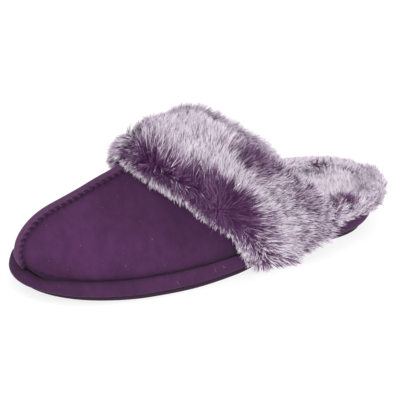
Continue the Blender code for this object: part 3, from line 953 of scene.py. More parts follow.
def fibre(point, normal, length, way, across=(0.0, 0.0, 1.0)):
    first = unit(np.cross(normal, across))
    second = np.cross(normal, first)
    along = first * math.cos(way) + second * math.sin(way)
    aside = second * math.cos(way) - first * math.sin(way)
    t = np.linspace(-0.5, 0.5, 6)[:, None]
    return point + along * t * length + aside * (t * t - 0.1) * length * 0.6 + normal * 0.0001


def makeLint():
    paths = []
    for turn, arch, length, way in lint["vamp"]:
        place = np.array([turn]), np.array([1]), np.array([math.radians(arch)])
        point, normal = lastPoint(*place)[0], lastNormal(*place)[0]
        paths.append(fibre(point - normal * creaseDepth(point), normal, length, way))
    for turn, degrees, length, way in lint["wrap"]:
        edge, out = feather(np.array([turn]), np.array([1]))
        angle, x = math.radians(degrees), edge[0, 0]
        topShare = (1 + math.sin(angle)) / 2
        reach = planValue("bulge", x) * math.cos(angle) - planValue("undercut", x) * (1 - topShare)
        low = soleBottom(x) + last["outsole"] + last["gap"]
        point = np.append(edge[0] + out[0] * reach, low + (soleTop(x) - low) * topShare)
        paths.append(fibre(point, np.append(out[0] * math.cos(angle), math.sin(angle)), length, way))
    line, up, length = ridgeLine()
    for i, where in enumerate(lint["strip"]):
        k = np.searchsorted(length, where)
        lean, aside = lint["stripSides"][i % 2]
        normal = unit(up[k] + np.array([0, lean, 0]))
        point = line[k] + up[k] * lint["stripLift"] + np.array([0, aside, 0])
        paths.append(fibre(point, normal, lint["stripLength"], 0.8 * i, across=(0.0, 1.0, 0.0)))
    points, quads, tris = tubes(np.array(paths), lint["radius"], sides=5)
    newPiece("lint", points, quads, tris, lintLook, "upper")


makeOutsole()
makeWrap()
makeInsole()
makeVamp()
makeStrip()
makeStitches()
makeLint()
print("sole and suede made")

# fur
cuff = {
    "columns": ("step", "arch", "drop", "front", "rear", "pile"),
    "rows": (
        (0, 90.0, 0.0000, 0.1800, 0.1450, 0.0150),
        (1, 62.0, 0.0000, 0.1735, 0.1360, 0.0150),
        (2, 37.0, 0.0000, 0.1580, 0.1120, 0.0130),
        (3, 16.0, 0.0000, 0.1420, 0.0800, 0.0115),
        (4, 1.0, 0.0000, 0.1300, 0.0540, 0.0095),
        (5, 0.0, 0.0062, 0.1220, 0.0500, 0.0080),
    ),
    "edge": 0.70,
    "crown": 0.30,
    "hangStart": math.radians(20),
    "hangDrop": 0.003,
    "skinDepth": 0.40,
    "skinSteps": 61,
    "skinAcross": 22,
    "lowNarrow": 0.3,
    "lowSteps": (3.4, 4.6),
}


def cuffSurface(step, side, across, depth):
    front, rear = column(cuff, "front", step), column(cuff, "rear", step)
    x = front + (rear - front) * across
    arch = np.radians(np.clip(column(cuff, "arch", step), 0, 90))
    turn = turnAt(x)
    low = np.clip(1 - arch / cuff["hangStart"], 0, 1)
    standOff = last["curvedGap"] + planValue("bulge", x) * low * low * (3 - 2 * low)
    drop = np.clip(column(cuff, "drop", step), 0, None)
    flat = feather(turn, side)[1]
    level = np.concatenate([flat, np.zeros(flat.shape[:-1] + (1,))], -1)
    hanging = smooth(0.0, cuff["hangDrop"], drop)
    out = unit(blend(lastNormal(turn, side, arch), level, hanging))
    seat = lastPoint(turn, side, arch) + out * standOff[..., None]
    seat[..., 2] -= drop
    crown = cuff["edge"] + cuff["crown"] * np.sin(np.pi * across)
    return seat + out * (column(cuff, "pile", step) * crown * depth)[..., None]


rim = {
    "columns": ("place", "out", "up"),
    "rows": (
        (0, 0.0050, -0.0085),
        (1, 0.0085, -0.0020),
        (2, 0.0065, 0.0060),
        (3, -0.0010, 0.0095),
        (4, -0.0085, 0.0065),
        (5, -0.0110, 0.0025),
        (6, -0.0070, -0.0004),
    ),
    "skinDepth": 0.62,
    "coveredDepth": 0.22,
    "coveredLaps": (0.16, 0.22),
    "skinLaps": 180,
    "skinPlaces": 25,
    "seatDepth": 0.0005,
    "probe": 0.004,
}

rimSize = {
    "columns": ("x", "thick", "skirt"),
    "rows": (
        (0.000, 0.85, 0.60),
        (0.045, 0.95, 0.60),
        (0.070, 1.35, 0.40),
        (0.105, 1.85, 0.40),
        (0.139, 2.10, 0.40),
    ),
}


def collarEdge(lap):
    # lap 0 at the heel, a half at the throat, 1 back at the heel
    lap = lap % 1.0
    side = np.where(lap < 0.5, 1, -1)
    share = 1 - np.abs(1 - 2 * lap)
    turn = turnAt(last["throat"]) * (1 - (1 - share) ** vamp["crowding"])
    arch = collarArch(stationX(turn))
    return lastPoint(turn, side, arch), lastNormal(turn, side, arch)


def rimSurface(lap, place, depth):
    # place 0 outside at the skirt, 6 inside
    point, normal = collarEdge(lap)
    along = unit(collarEdge(lap + rim["probe"])[0] - collarEdge(lap - rim["probe"])[0])
    up = unit(np.cross(along, normal))
    thick, skirt = column(rimSize, "thick", point[..., 0]), column(rimSize, "skirt", point[..., 0])
    out, rise = column(rim, "out", place), column(rim, "up", place)
    out = out * np.where(out > 0, thick, 1) * depth
    rise = rise * np.where(rise > 0, thick, skirt) * depth
    return point + normal * out[..., None] + up * rise[..., None]


# how far the hairs' first row stands behind the cuff's front edge, as a share of its width
rollFront = {
    "columns": ("step", "start"),
    "rows": ((0, 0.08), (1, 0.19), (2, 0.22), (3, 0.21), (4, 0.15), (5, 0.09)),
    "farShare": 0.1,
}


def frontStart(step, side):
    return column(rollFront, "start", step) * np.where(side > 0, 1.0, rollFront["farShare"])


def makeFurSkins():
    # the backing that the hairs stand on, dark between them
    step = np.linspace(0, 5, cuff["skinSteps"])
    steps = np.concatenate([step[::-1], step[1:]])
    sides = np.concatenate([np.ones(len(step)), -np.ones(len(step) - 1)])
    stepGrid, acrossGrid = np.meshgrid(steps, np.linspace(0, 1, cuff["skinAcross"]), indexing="ij")
    sideGrid = np.repeat(sides[:, None], acrossGrid.shape[1], 1)
    acrossGrid = acrossGrid + (1 - acrossGrid) * frontStart(stepGrid, sideGrid)
    acrossGrid = acrossGrid * (1 - cuff["lowNarrow"] * smooth(*cuff["lowSteps"], stepGrid))
    seats = cuffSurface(stepGrid, sideGrid, acrossGrid, 0.0)
    tops = cuffSurface(stepGrid, sideGrid, acrossGrid, cuff["skinDepth"])
    points = np.concatenate([tops.reshape(-1, 3), seats.reshape(-1, 3)])
    newPiece("cuff_skin", points, sheetFaces(*stepGrid.shape), [], backing["cuff"], "fur_cuff", "fur_cuff")

    laps = np.arange(rim["skinLaps"]) / rim["skinLaps"]
    lap, place = np.meshgrid(laps, np.linspace(0, 6, rim["skinPlaces"]), indexing="ij")
    covered = smooth(*rim["coveredLaps"], np.minimum(lap, 1 - lap))
    ring = rimSurface(lap, place, rim["skinDepth"] - rim["coveredDepth"] * covered)
    point, normal = collarEdge(lap[:, :1])
    ring = np.concatenate([ring, point - normal * rim["seatDepth"]], 1)
    rows, cols = ring.shape[:2]
    quads = gridFaces(rows + 1, cols, closed=True) % (rows * cols)
    newPiece("rim_skin", ring.reshape(-1, 3), quads, [], backing["rim"], "fur_rim", "fur_rim")


# what all hairs share: spreads of each hair's length, width and colour
hair = {
    "lengths": (0.68, 1.08),
    "widths": (0.7, 1.3),
    "lifts": (0.05, 1.0),
    "rise": (1.3, 0.12, 1.05),
    "darkSpread": 0.12,
    "darkRange": (0.05, 0.95),
    "frostSpan": 0.32,
    "frostStart": 0.12,
    "unfrostedShare": 0.3,
    "toneSpread": 0.22,
    "lowest": 0.0012,
}


def growHairs(name, clumps, settings, material, slot):
    # clumps of tapered ribbons; each bends from rising to lying along the comb
    draw = np.random.default_rng(settings["seed"])
    each = settings["perClump"]
    count = len(clumps["root"]) * each
    many = {
        key: np.repeat(value, each, 0) if np.ndim(value) else np.full(count, value)
        for key, value in clumps.items()
    }
    normal = many["normal"]
    comb = unit(many["comb"] - normal * (many["comb"] * normal).sum(-1, keepdims=True))
    cross = np.cross(normal, comb)
    angle = draw.uniform(0, 2 * np.pi, count)
    reach = np.sqrt(draw.uniform(0, 1, count)) * settings["clumpRadius"]
    offset = comb * (reach * np.cos(angle))[:, None] + cross * (reach * np.sin(angle))[:, None]
    length = many["length"] * draw.uniform(*hair["lengths"], count)
    lift = many["lift"] + draw.normal(0, settings["liftSpread"], count)
    lift = np.clip(lift, *hair["lifts"])[:, None]
    comb = unit(comb + cross * draw.normal(0, settings["combSpread"], count)[:, None])
    steep, least, lean = hair["rise"]
    rising = unit(normal * (lift * steep + least) + comb * (lean - lift))
    lying = unit(normal * lift * many["tipLift"][:, None] + comb)
    root = many["root"] + offset
    bend = root + rising * (length * 0.5)[:, None]
    tip = bend + lying * (length * 0.5)[:, None] - offset * settings["pinch"]
    tip = tip + draw.normal(0, settings["scatter"], (count, 3))
    levels = np.array(settings["levels"])
    t = levels[None, :, None]
    path = root[:, None] * (1 - t) ** 2 + bend[:, None] * (2 * t * (1 - t)) + tip[:, None] * t**2
    path[..., 2] = np.maximum(path[..., 2], hair["lowest"])
    along = unit(path[:, -1] - path[:, 0])
    facing = unit(normal + draw.normal(0, settings["twist"], (count, 3)))
    width = settings["width"] * draw.uniform(*hair["widths"], count)
    wide = (unit(np.cross(along, facing)) * width[:, None])[:, None]
    wide = wide * np.array(settings["taper"])[None, :-1, None]
    pairs = np.stack([path[:, :-1] - wide, path[:, :-1] + wide], 2).reshape(count, -1, 3)
    points = np.concatenate([pairs, path[:, -1:]], 1)
    stride = points.shape[1]
    starts = (np.arange(count) * stride)[:, None]
    quads = [starts + 2 * i + np.array([0, 1, 3, 2]) for i in range(len(levels) - 2)]
    quads = np.stack(quads, 1).reshape(-1, 4)
    tris = starts + stride - np.array([3, 2, 1])
    dark = np.clip(many["dark"] + draw.normal(0, hair["darkSpread"], count), *hair["darkRange"])[:, None]
    frost = np.clip((levels[None] - dark) / hair["frostSpan"] + hair["frostStart"], 0, 1)
    unfrosted = draw.uniform(0, 1, count) < settings["unfrosted"]
    frost = frost * np.where(unfrosted, hair["unfrostedShare"], 1.0)[:, None]
    frost = np.concatenate([np.repeat(frost[:, :-1], 2, 1), frost[:, -1:]], 1)
    tone = np.clip(many["tone"] + draw.normal(0, hair["toneSpread"], count), 0, 1)
    tone = np.repeat(tone, stride)
    newPiece(name, points.reshape(-1, 3), quads, tris, material, slot, frost=frost, tone=tone)


spread = {"tries": 5, "probe": 0.002}


def scattered(surface, count, ranges, draw):
    # places spread evenly by area, with normals and the ways along both parameters
    low, high = np.array(ranges, float).T
    many = low + (high - low) * draw.uniform(0, 1, (count * spread["tries"], 2))
    u, v = many.T
    du, dv = (high - low) * spread["probe"]
    alongU = (surface(u + du, v) - surface(u - du, v)) / du
    alongV = (surface(u, v + dv) - surface(u, v - dv)) / dv
    normal = np.cross(alongU, alongV)
    area = np.linalg.norm(normal, axis=1)
    keep = draw.choice(len(many), count, replace=False, p=area / area.sum())
    u, v = many[keep].T
    return u, v, surface(u, v), unit(normal[keep]), unit(alongU[keep]), unit(alongV[keep])


waveField = {"count": 7, "pitches": (0.6, 1.6), "range": 3.2}


def waves(points, scale, seed):
    # soft random field from a few plane waves, about -1 to 1
    draw = np.random.default_rng(seed)
    total = np.zeros(len(points))
    for _ in range(waveField["count"]):
        way = unit(draw.normal(0, 1, 3)) / scale * draw.uniform(*waveField["pitches"])
        total += np.sin(points @ way * 2 * np.pi + draw.uniform(0, 2 * np.pi))
    return total / waveField["range"]


# one roll on each side, from the cuff's front edge over the collar and down inside
roll = {
    "steps": 81,
    "points": 61,
    "cuffPoints": 18,
    "rimPoints": 16,
    "cuffEnd": 0.66,
    "rimStart": 2.2,
    "front": 0.34,
    "depth": 0.56,
    "rimDepth": 0.66,
    "passes": 14,
    "sidePasses": 5,
}


def halfLap(step):
    # where on the collar the rear edge of the cuff is nearest, 0.5 on the ridge
    laps = np.linspace(0.02, 0.5, 500)
    steps = np.linspace(0.5, 5, 40)
    ones = np.ones(len(steps))
    rear = cuffSurface(steps, ones, ones, 0.0)
    nearest = laps[np.linalg.norm(rear[:, None] - collarEdge(laps - 1e-6)[0][None], axis=-1).argmin(1)]
    powers = np.stack([steps, steps**2, steps**3], -1)
    bend = np.linalg.lstsq(powers, nearest - 0.5, rcond=None)[0]
    return 0.5 + bend[0] * step + bend[1] * step**2 + bend[2] * step**3


def evenRows(rows, count):
    even = []
    for row in rows:
        length = runs(row)
        even.append(pointsAt(np.linspace(0, length[-1], count), length, row))
    return np.array(even)


def softened(grid, passes):
    for _ in range(passes):
        grid[:, 1:-1] = (grid[:, :-2] + 2 * grid[:, 1:-1] + grid[:, 2:]) / 4
    return grid


def rollGrid(side):
    step = np.linspace(0, 5, roll["steps"])
    steps, across = np.meshgrid(step, np.linspace(0, 1, roll["cuffPoints"]), indexing="ij")
    start = frontStart(steps, side)
    across = start + (roll["cuffEnd"] - start) * across
    rounding = np.sqrt(1 - (1 - np.clip((across - start) / roll["front"], 0, 1)) ** 2)
    depth = roll["depth"] * (0.2 + 0.8 * rounding)
    cuffPart = cuffSurface(steps, np.full(steps.shape, side), across, depth)
    places = np.linspace(roll["rimStart"], 6, roll["rimPoints"])
    lap, place = np.meshgrid(halfLap(step), places, indexing="ij")
    rimPart = rimSurface(lap - 1e-6 if side > 0 else 1 - lap, place, roll["rimDepth"])
    grid = softened(evenRows(np.concatenate([cuffPart, rimPart], 1), roll["points"]), roll["passes"])
    grid = evenRows(grid, roll["points"])
    return softened(grid.transpose(1, 0, 2), roll["sidePasses"]).transpose(1, 0, 2)


def gridAt(grid, u, v):
    a, b = np.clip(u, 0, 1) * (grid.shape[0] - 1), np.clip(v, 0, 1) * (grid.shape[1] - 1)
    i, j = np.minimum(a.astype(int), grid.shape[0] - 2), np.minimum(b.astype(int), grid.shape[1] - 2)
    a, b = (a - i)[:, None], (b - j)[:, None]
    low = grid[i, j] * (1 - b) + grid[i, j + 1] * b
    high = grid[i + 1, j] * (1 - b) + grid[i + 1, j + 1] * b
    return low * (1 - a) + high * a


rollGrids = {side: rollGrid(side) for side in (1, -1)}

# where the hairs part, in metres behind the front edge, and the two whorls on that line
partingLine = {
    "columns": ("step", "run"),
    "rows": (
        (0.0, 0.0075), (0.6, 0.0084), (1.3, 0.0115), (2.2, 0.0098), (2.9, 0.0101), (3.5, 0.0107),
        (5.0, 0.0110),
    ),
    "wave": 0.0012,
    "wavePitch": 0.03,
    "uneven": 0.0014,
    "rearward": 0.010,
    # metres past the line
    "turnOver": (-0.002, 0.002),
    "after": (0.004, 0.022),
    "fresh": (0.015, 0.003),
}

whorls = {
    "places": ((0.167, 0.017, 0.074), (0.136, 0.051, 0.051)),
    "reach": 0.015,
    "darkReach": 0.0115,
    "turns": (0.34, 0.60),
    "darks": (0.40, 1.0),
    "uneven": 0.0025,
}

# patches of hairs, each as ramps of the step down the side and of the share across the roll
patches = {
    "aside": ((), ((0.40, 0.48), (0.68, 0.62))),
    "high": (((2.0, 1.0),), ((0.45, 0.60),)),
    "farLow": (((3.8, 4.6),), ((0.50, 0.65),)),
    "farTall": (((0.9, 1.9), (4.4, 3.4)), ((0.30, 0.60),)),
    "farThroat": (((1.6, 0.8),), ((0.30, 0.60),)),
    "flank": (((1.8, 2.6), (4.7, 4.0)), ((0.30, 0.42), (0.92, 0.80))),
    "lobe": (((3.2, 3.8),), ((0.68, 0.78),)),
    "within": (((2.2, 2.7), (4.3, 3.9)), ((0.78, 0.86),)),
    "hang": (((4.0, 4.8),), ((0.35, 0.65),)),
    "under": (((3.9, 4.7),), ((0.06, 0.13), (0.42, 0.26))),
    "corner": ((), ((0.48, 0.56), (0.84, 0.74))),
    "quarter": (((1.8, 2.6),), ((0.35, 0.50), (1.00, 0.90))),
    "inner": ((), ((0.84, 0.92),)),
    "middle": (((2.0, 1.6),), ((0.24, 0.34), (0.60, 0.50))),
    "lower": (((3.2, 4.2), (5.0, 4.4)), ((0.10, 0.20), (0.62, 0.45))),
    "brow": (((2.2, 2.6), (4.0, 3.6)), ((0.56, 0.66), (0.84, 0.77))),
    "hem": (((3.9, 4.6),), ((0.45, 0.60),)),
    "heelEnd": (((3.3, 3.8), (4.5, 4.1)), ((0.84, 0.90),)),
}

rollHairs = {
    "clumps": {(1, "front"): 3100, (1, "back"): 2700, (-1, "front"): 2700, (-1, "back"): 2300},
    "shares": {"front": (0.0, 0.52), "back": (0.52, 1.0)},
    "perClump": 12,
    "clumpRadius": 0.0010,
    "levels": (0.0, 0.35, 0.7, 1.0),
    "taper": (1.0, 0.95, 0.7, 0.0),
    "width": 0.00020,
    "pinch": 0.3,
    "scatter": 0.0007,
    "twist": 0.45,
    "liftSpread": 0.08,
    "combSpread": 0.16,
    "unfrosted": 0.14,
    "flecks": 0.15,
    "edge": 0.0030,
    "seed": 21,
}
farHairs = {"levels": (0.0, 0.5, 1.0), "taper": (1.0, 0.85, 0.0), "width": 0.00026}


def makeRollHairs(side, part):
    draw = np.random.default_rng(rollHairs["seed"] + side + len(part))
    near = side > 0
    grid = rollGrids[side]
    rowLength = np.linalg.norm(np.diff(grid, axis=1), axis=2).sum(1)

    def surface(u, v):
        return gridAt(grid, u, v)

    def patch(name):
        total = np.ones(len(u))
        for ramps, value in zip(patches[name], (step, v)):
            for low, high in ramps:
                total = total * smooth(low, high, value)
        return total

    count, shares = rollHairs["clumps"][side, part], rollHairs["shares"][part]
    u, v, root, normal, down, back = scattered(surface, count, ((0, 1), shares), draw)
    normal = normal * side
    step = 5 * u
    run = v * np.interp(u, np.linspace(0, 1, len(rowLength)), rowLength)
    ridge = smooth(1.3, 0.3, step)
    parting = column(partingLine, "run", step)
    parting = parting + partingLine["wave"] * waves(root, partingLine["wavePitch"], 5)
    parting = parting + draw.normal(0, partingLine["uneven"], len(u))
    onRidge = smooth(0.40, 0.0, step) if near else smooth(1.9, 0.8, step)
    past = run - (parting + partingLine["rearward"] * onRidge)
    behind = smooth(*partingLine["turnOver"], past)
    after = smooth(*partingLine["after"], past)
    fresh = smooth(*partingLine["fresh"], past) * smooth(3.6, 2.4, step)
    fresh = fresh * (0.35 + 0.65 * smooth(0.6, 1.4, step)) * (1.0 if near else 0.3)

    # the way the hairs are combed: the fringe forward, the rest back, turned by the whorls
    turning = 2.7 - 0.8 * smooth(0.35, 0.6, v)
    sway = -0.75 * smooth(turning, turning - 1.2, step) + 0.4 * smooth(turning, turning + 1.8, step)
    sway = sway + 0.8 * hump(step, 2.15, 0.35) * patch("aside") * near
    fringe = down * (0.8 * smooth(0.0, 0.9, step))[:, None] - back * (0.5 + 0.4 * ridge)[:, None]
    comb = blend(fringe, back + down * sway[:, None], behind)
    comb = comb + down * (0.7 * smooth(0.5, 0.0, step) * draw.normal(0, 1, len(u)))[:, None]
    whorl = np.zeros(len(u))
    ragged = whorls["darkReach"] * (1 + 0.35 * waves(root, 0.012, 6))
    for centre, turn, darkest in zip(whorls["places"], whorls["turns"], whorls["darks"]) if near else ():
        away = root - np.array(centre)
        apart = (away**2).sum(-1)
        outward = unit(away + draw.normal(0, whorls["uneven"], away.shape))
        comb = blend(unit(comb), outward, turn * np.exp(-apart / whorls["reach"] ** 2))
        whorl = np.maximum(whorl, darkest * np.exp(-apart / ragged**2))

    high = patch("high")
    lift = 0.24 + 0.34 * after * behind + 0.18 * (1 - behind) + 0.18 * ridge * behind + 0.10 * high
    length = 0.0180 - 0.0055 * after - 0.002 * smooth(3, 5, step)
    length = length + 0.0035 * high * smooth(0.5, 1.2, step) + 0.002 * ridge * smooth(0.55, 0.40, v)
    length = length * (behind**2 if near else behind) + (0.0066 + 0.36 * run) * (1 - behind)
    length = length * np.where(run < rollHairs["edge"], 0.85, 1.0)
    if near:
        flank = patch("flank")
        lift = lift + 0.22 * hump(past, 0, 0.005) * smooth(0.9, 0.3, step) + 0.10 * flank
        length = length * (1 - 0.12 * flank - 0.25 * patch("lobe") - 0.40 * patch("within"))
        # the lower rear edge hangs out over the sole
        hang, under = patch("hang"), patch("under")
        comb = comb + down * (0.25 * hang + 0.75 * under)[:, None]
        length = length + 0.0055 * hang + 0.0050 * under
    else:
        # the far end of the cuff stands out past the ridge, the far rim is highest behind the throat
        front = (1 - smooth(0.010, 0.022, run)) * smooth(3.0, 1.8, step)
        low, tall = patch("farLow"), patch("farTall")
        lift = lift + 0.36 * front + 0.25 * hump(past, 0, 0.005) * smooth(2.4, 1.4, step)
        lift = lift - 0.20 * low + 0.10 * tall
        length = length * (1 - 0.30 * low) + 0.0038 * front * (1 - behind) + 0.0042 * tall
        length = length - 0.0024 * patch("farThroat")

    # how far up each hair its dark root reaches
    dark = 0.30 + 0.42 * fresh * behind + 0.42 * whorl * (0.4 + 0.6 * behind)
    dark = dark - (0.15 if near else 0.28) * patch("inner") - 0.08 * patch("middle") + 0.18 * patch("lower")
    speckled = smooth(1.6, 2.6, step) if near else 0.5
    flecked = draw.uniform(0, 1, len(u)) < rollHairs["flecks"] * (0.5 + 1.1 * speckled)
    dark = dark + (0.20 + 0.18 * speckled) * flecked
    if near:
        streaks = smooth(0.2, 0.6, waves(root, 0.004, 13)) * smooth(0.003, 0.006, run) * (1 - whorl)
        edged = 0.52 * smooth(0.0028, 0.0070, run) + 0.08 * smooth(3.0, 2.0, step) + 0.05 - 0.26 * streaks
        edged = edged * (1 - 0.40 * smooth(2.8, 3.5, step) - 0.3 * smooth(4.2, 4.7, step))
        dark = dark + 0.58 * hump(step, 1.82, 0.36) * patch("corner") + 0.15 * patch("quarter")
        # mauve patches along the edge of the opening
        dark = dark + 0.22 * patch("brow") * smooth(-0.3, 0.5, waves(root, 0.010, 14))
        # pale along the lower rear edge; dark roots and painted shadow where the roll ends on the heel's
        # rim
        dark = dark - 0.16 * patch("hem") + 0.40 * patch("heelEnd")
    else:
        edged = 0.14 * smooth(1.6, 0.8, step) - 0.06
    dark = dark + edged * (1 - behind)
    tone = 0.30 + 0.3 * waves(root, 0.012, 9) + 0.10 * (1 - behind)
    tone = tone + 0.4 * np.maximum(whorl, fresh * behind) * waves(root, 0.003, 12)
    clumps = {
        "root": root,
        "normal": normal,
        "comb": unit(unit(comb) + draw.normal(0, 0.16, root.shape)),
        "lift": np.clip(lift + draw.normal(0, 0.06, len(u)), 0.1, 1),
        "tipLift": 0.5 + 0.4 * after * behind,
        "length": length * draw.uniform(0.85, 1.1, len(u)),
        "dark": dark + draw.normal(0, 0.07, len(u)) + 0.06 * waves(root, 0.018, 8),
        "tone": np.clip(tone + draw.normal(0, 0.2, len(u)), 0, 1),
    }
    name = "roll_fur_" + sideName[side] + "_" + part
    settings = {**rollHairs, **({} if near else farHairs), "seed": 31 + side + len(part)}
    settings["pinch"] = rollHairs["pinch"] * (1.0 if part == "front" else 0.5)
    growHairs(name, clumps, settings, furLooks["cuff"], "fur_cuff" if part == "front" else "fur_rim")


heelHairs = {**rollHairs, "clumps": 1500, "seed": 41, "combSpread": 0.2}


def makeHeelHairs(side):
    draw = np.random.default_rng(heelHairs["seed"] + side)
    end = halfLap(5.0)
    laps = (0.0, end) if side > 0 else (1 - end, 1.0)

    def surface(lap, place):
        return rimSurface(lap, place, rim["skinDepth"])

    u, v, root, normal = scattered(surface, heelHairs["clumps"], (laps, (0.8, 6)), draw)[:4]
    x, sign, none = root[:, 0], np.sign(root[:, 1]), 0 * u
    outside = (normal * (root - collarEdge(u)[0])).sum(-1) > 0
    normal = normal * np.where(outside, 1, -1)[:, None]
    near, far = (1.0, 0.0) if side > 0 else (0.0, 1.0)
    heel, heelEnd, top = smooth(0.05, 0.015, x), smooth(0.020, 0.0, x), smooth(1.8, 2.6, v)

    # combed towards the heel and out round it, up over the top and, on the near side, inwards
    toHeel = unit(np.stack([none - 1, 0.25 * sign, none + 0.25], -1))
    outward = unit(np.stack([x - 0.06, root[:, 1] * 1.4, none + 0.03], -1))
    comb = blend(toHeel, outward, heel)
    hanging = 1.6 * far * smooth(3.6, 4.8, v)
    upward = np.stack([none - 0.2, none, 0.25 + 0.55 * near - 0.2 * heelEnd - hanging], -1)
    comb = unit(comb + upward * top[:, None])
    inward = unit(np.stack([none - 0.55, -0.6 * sign, none + 0.6], -1))
    comb = unit(blend(comb, inward, near * top * (1 - 0.8 * heel)))

    length = 0.0064 + 0.0060 * near * top * (1 - heel)
    length = length + (0.0026 + 0.0032 * near) * heelEnd * smooth(1.2, 1.9, v) * smooth(3.6, 2.6, v)
    length = length - 0.0016 * far * smooth(1.6, 2.4, v) * smooth(4.6, 3.8, v)
    # dark patches, partly dark roots and partly painted shadow: on the near side behind the end of the
    # roll, on the far side down the rim's inner face
    patch = near * hump(x, 0.041, 0.010) * hump(v, 2.8, 0.8)
    patch = patch + 0.29 * far * hump(x, 0.017, 0.008) * smooth(3.8, 4.6, v)
    pale = np.maximum(far * smooth(1.6, 2.6, v), smooth(0.014, 0.004, x) * smooth(1.6, 2.4, v))
    dark = 0.15 + 0.95 * patch - 0.12 * pale + 0.08 * waves(root, 0.018, 18)
    comb = unit(comb + draw.normal(0, 0.18, root.shape))
    lift = 0.30 + 0.10 * near * top + 0.05 * heelEnd + draw.normal(0, 0.07, len(u))
    length = length * draw.uniform(0.85, 1.1, len(u))
    flecked = draw.uniform(0, 1, len(u)) < heelHairs["flecks"] * (0.5 + near)
    clumps = {
        "root": root,
        "normal": normal,
        "comb": comb,
        "lift": np.clip(lift, 0.1, 1),
        "tipLift": 0.6,
        "length": length,
        "dark": dark + 0.42 * (1 - 0.8 * pale) * flecked,
        "tone": np.clip(0.30 + 0.3 * waves(root, 0.012, 19) + draw.normal(0, 0.2, len(u)), 0, 1),
    }
    settings = {**heelHairs, **(farHairs if side < 0 else {}), "seed": 51 + side}
    growHairs("heel_fur_" + sideName[side], clumps, settings, furLooks["cuff"], "fur_rim")


def makeRollSkin(side):
    # backing under the hairs where cuff and rim run together, dark in front
    grid = rollGrids[side]
    rows, cols = grid.shape[:2]
    normal = unit(np.cross(np.gradient(grid, axis=0), np.gradient(grid, axis=1))) * side
    points = np.concatenate([grid.reshape(-1, 3), (grid - 0.002 * normal).reshape(-1, 3)])
    name = "roll_skin_" + sideName[side]
    frost = np.tile(0.30 * smooth(0.30, 0.45, np.linspace(0, 1, cols)), 2 * rows)
    newPiece(name, points, sheetFaces(rows, cols, side > 0), [], furLooks["cuff"], "fur_rim", frost=frost)


pile = {
    **rollHairs,
    "clumps": 1500,
    "liningClumps": 1250,
    "levels": (0.0, 0.55, 1.0),
    "taper": (1.0, 0.85, 0.0),
    "width": 0.0003,
    "clumpRadius": 0.0022,
    "seed": 61,
}


def makePile():
    # short fur on the insole and inside the vamp
    draw = np.random.default_rng(pile["seed"])

    def sock(x, across):
        side = np.where(across > 0, 1, -1)
        half = side * outlineY(x, side) - 0.0062
        return np.stack([x, across * half, soleTop(x) + last["insole"] - 0.0010], -1)

    u, v, root = scattered(sock, pile["clumps"], ((0.009, 0.17), (-1, 1)), draw)[:3]
    x = root[:, 0]
    heelEnd = smooth(0.020, 0.010, x)
    hollow = smooth(0.014, 0.020, x) * smooth(-0.15, -0.45, v)
    shaded = smooth(0.028, 0.040, x) * smooth(-0.4, 0.2, v)
    clumps = {
        "root": root,
        "normal": np.tile([0.0, 0.0, 1.0], (len(u), 1)),
        "comb": draw.normal(0, 0.3, root.shape) + np.array([-0.6, -0.8, 0]),
        "lift": 0.60 + 0.15 * smooth(-0.4, -0.7, v),
        "tipLift": 0.7,
        "length": draw.uniform(0.0095, 0.0125, len(u)) * (1 + 0.4 * heelEnd - 0.55 * hollow),
        "dark": 0.06 + 0.06 * waves(root, 0.018, 28) + 0.24 * shaded,
        "tone": np.clip(0.3 + 0.3 * waves(root, 0.012, 29), 0, 1),
    }
    growHairs("insole_fur", clumps, pile, furLooks["lining"], "insole")

    span = (turnAt(0.008), turnAt(0.19))
    turn, share = np.meshgrid(np.linspace(*span, 60), np.linspace(0.02, 0.98, 16), indexing="ij")
    for side, end in sideName.items():
        def inner(turn, share, lift=0.0):
            arch = collarArch(stationX(turn)) * share
            return lastPoint(turn, side, arch) - lastNormal(turn, side, arch) * (last["wall"] - lift)

        points = np.concatenate([inner(turn, share, lift).reshape(-1, 3) for lift in (-0.0003, 0.0008)])
        faces = sheetFaces(*turn.shape, side > 0)
        newPiece("lining_skin_" + end, points, faces, [], furLooks["lining"], "upper")
        u, v, root, normal = scattered(inner, pile["liningClumps"], (span, (0.03, 0.98)), draw)[:4]
        middle = np.stack([root[:, 0], 0 * u, 0 * u + 0.03], -1) - root
        clumps = {
            "root": root,
            "normal": normal * np.where((normal * middle).sum(-1) > 0, 1, -1)[:, None],
            "comb": draw.normal(0, 0.5, root.shape) + np.array([-1.0, 0, 0]),
            "lift": 0.5,
            "tipLift": 0.5,
            "length": draw.uniform(0.005, 0.007, len(u)),
            "dark": 0.25 + 0.10 * waves(root, 0.018, 38),
            "tone": np.clip(0.5 + 0.3 * waves(root, 0.012, 39), 0, 1),
        }
        growHairs("lining_fur_" + end, clumps, {**pile, "seed": 63 + side}, furLooks["lining"], "upper")


makeFurSkins()
for side in (1, -1):
    makeRollSkin(side)
    makeRollHairs(side, "front")
    makeRollHairs(side, "back")
    makeHeelHairs(side)
makePile()
print("fur made")

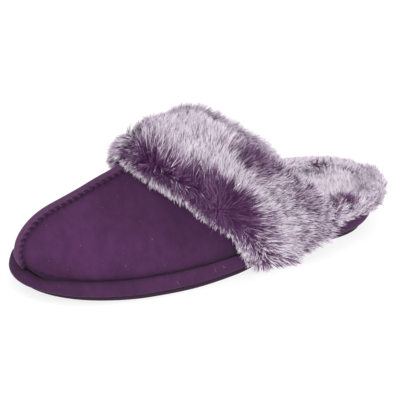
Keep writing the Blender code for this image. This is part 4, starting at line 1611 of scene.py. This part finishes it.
# floor, light and camera
studio = {
    "floorSize": 8.0,
    "floorGlow": 0.78,
    "floorGap": 0.0002,
    "world": 0.85,
    "cameraPlace": (0.6435, 0.9761, 0.5494),
    "cameraAim": (0.0904, -0.0642, 0.0),
    "lens": 166.23,
    "sensor": 36.0,
    "farClip": 50.0,
    # name, place, aim, size, power
    "lights": (
        ("top", (0.1, 0.3, 1.7), (0.1, 0.0, 0.0), 1.6, 5.0),
        ("front", (0.5, 1.5, 0.55), (0.12, 0.0, 0.04), 1.2, 11.0),
        ("back", (-0.9, -0.8, 0.9), (0.1, 0.0, 0.04), 1.2, 4.0),
    ),
}


def aimed(made, place, aim):
    # places are counted from the heel end
    made.location = Vector(place) + Vector(heelPoint)
    made.rotation_euler = (Vector(aim) - Vector(place)).to_track_quat("-Z", "Y").to_euler()


def makeStudio():
    mesh = bpy.data.meshes.new("floor")
    bm = bmesh.new()
    bmesh.ops.create_grid(bm, x_segments=1, y_segments=1, size=studio["floorSize"] / 2)
    bm.to_mesh(mesh)
    bm.free()
    # a light table, so the shadow under the shoe stays faint
    material = newMaterial(
        "paleFloor", Base_Color=(0.30, 0.30, 0.30), Roughness=0.9, Specular_IOR_Level=0.1,
        Emission_Color=(1, 1, 1), Emission_Strength=studio["floorGlow"],
    )[0]
    mesh.materials.append(material)
    floor = addObject("floor", mesh)
    floor.location.z = heelPoint[2] - studio["floorGap"]

    world = bpy.data.worlds.new("studioWorld")
    world.use_nodes = True
    tree = world.node_tree
    setNode(tree, tree.nodes["Background"], Color=(1, 1, 1), Strength=studio["world"])
    bpy.context.scene.world = world
    bpy.context.scene.view_settings.view_transform = "Standard"

    for name, place, aim, size, power in studio["lights"]:
        lamp = bpy.data.lights.new(name, "AREA")
        lamp.size = size
        lamp.energy = power
        aimed(addObject(name, lamp), place, aim)

    lens = bpy.data.cameras.new("camera")
    lens.lens = studio["lens"]
    lens.sensor_width = studio["sensor"]
    lens.clip_end = studio["farClip"]
    camera = addObject("camera", lens)
    aimed(camera, studio["cameraPlace"], studio["cameraAim"])
    bpy.context.scene.camera = camera


makeStudio()
print("studio made")
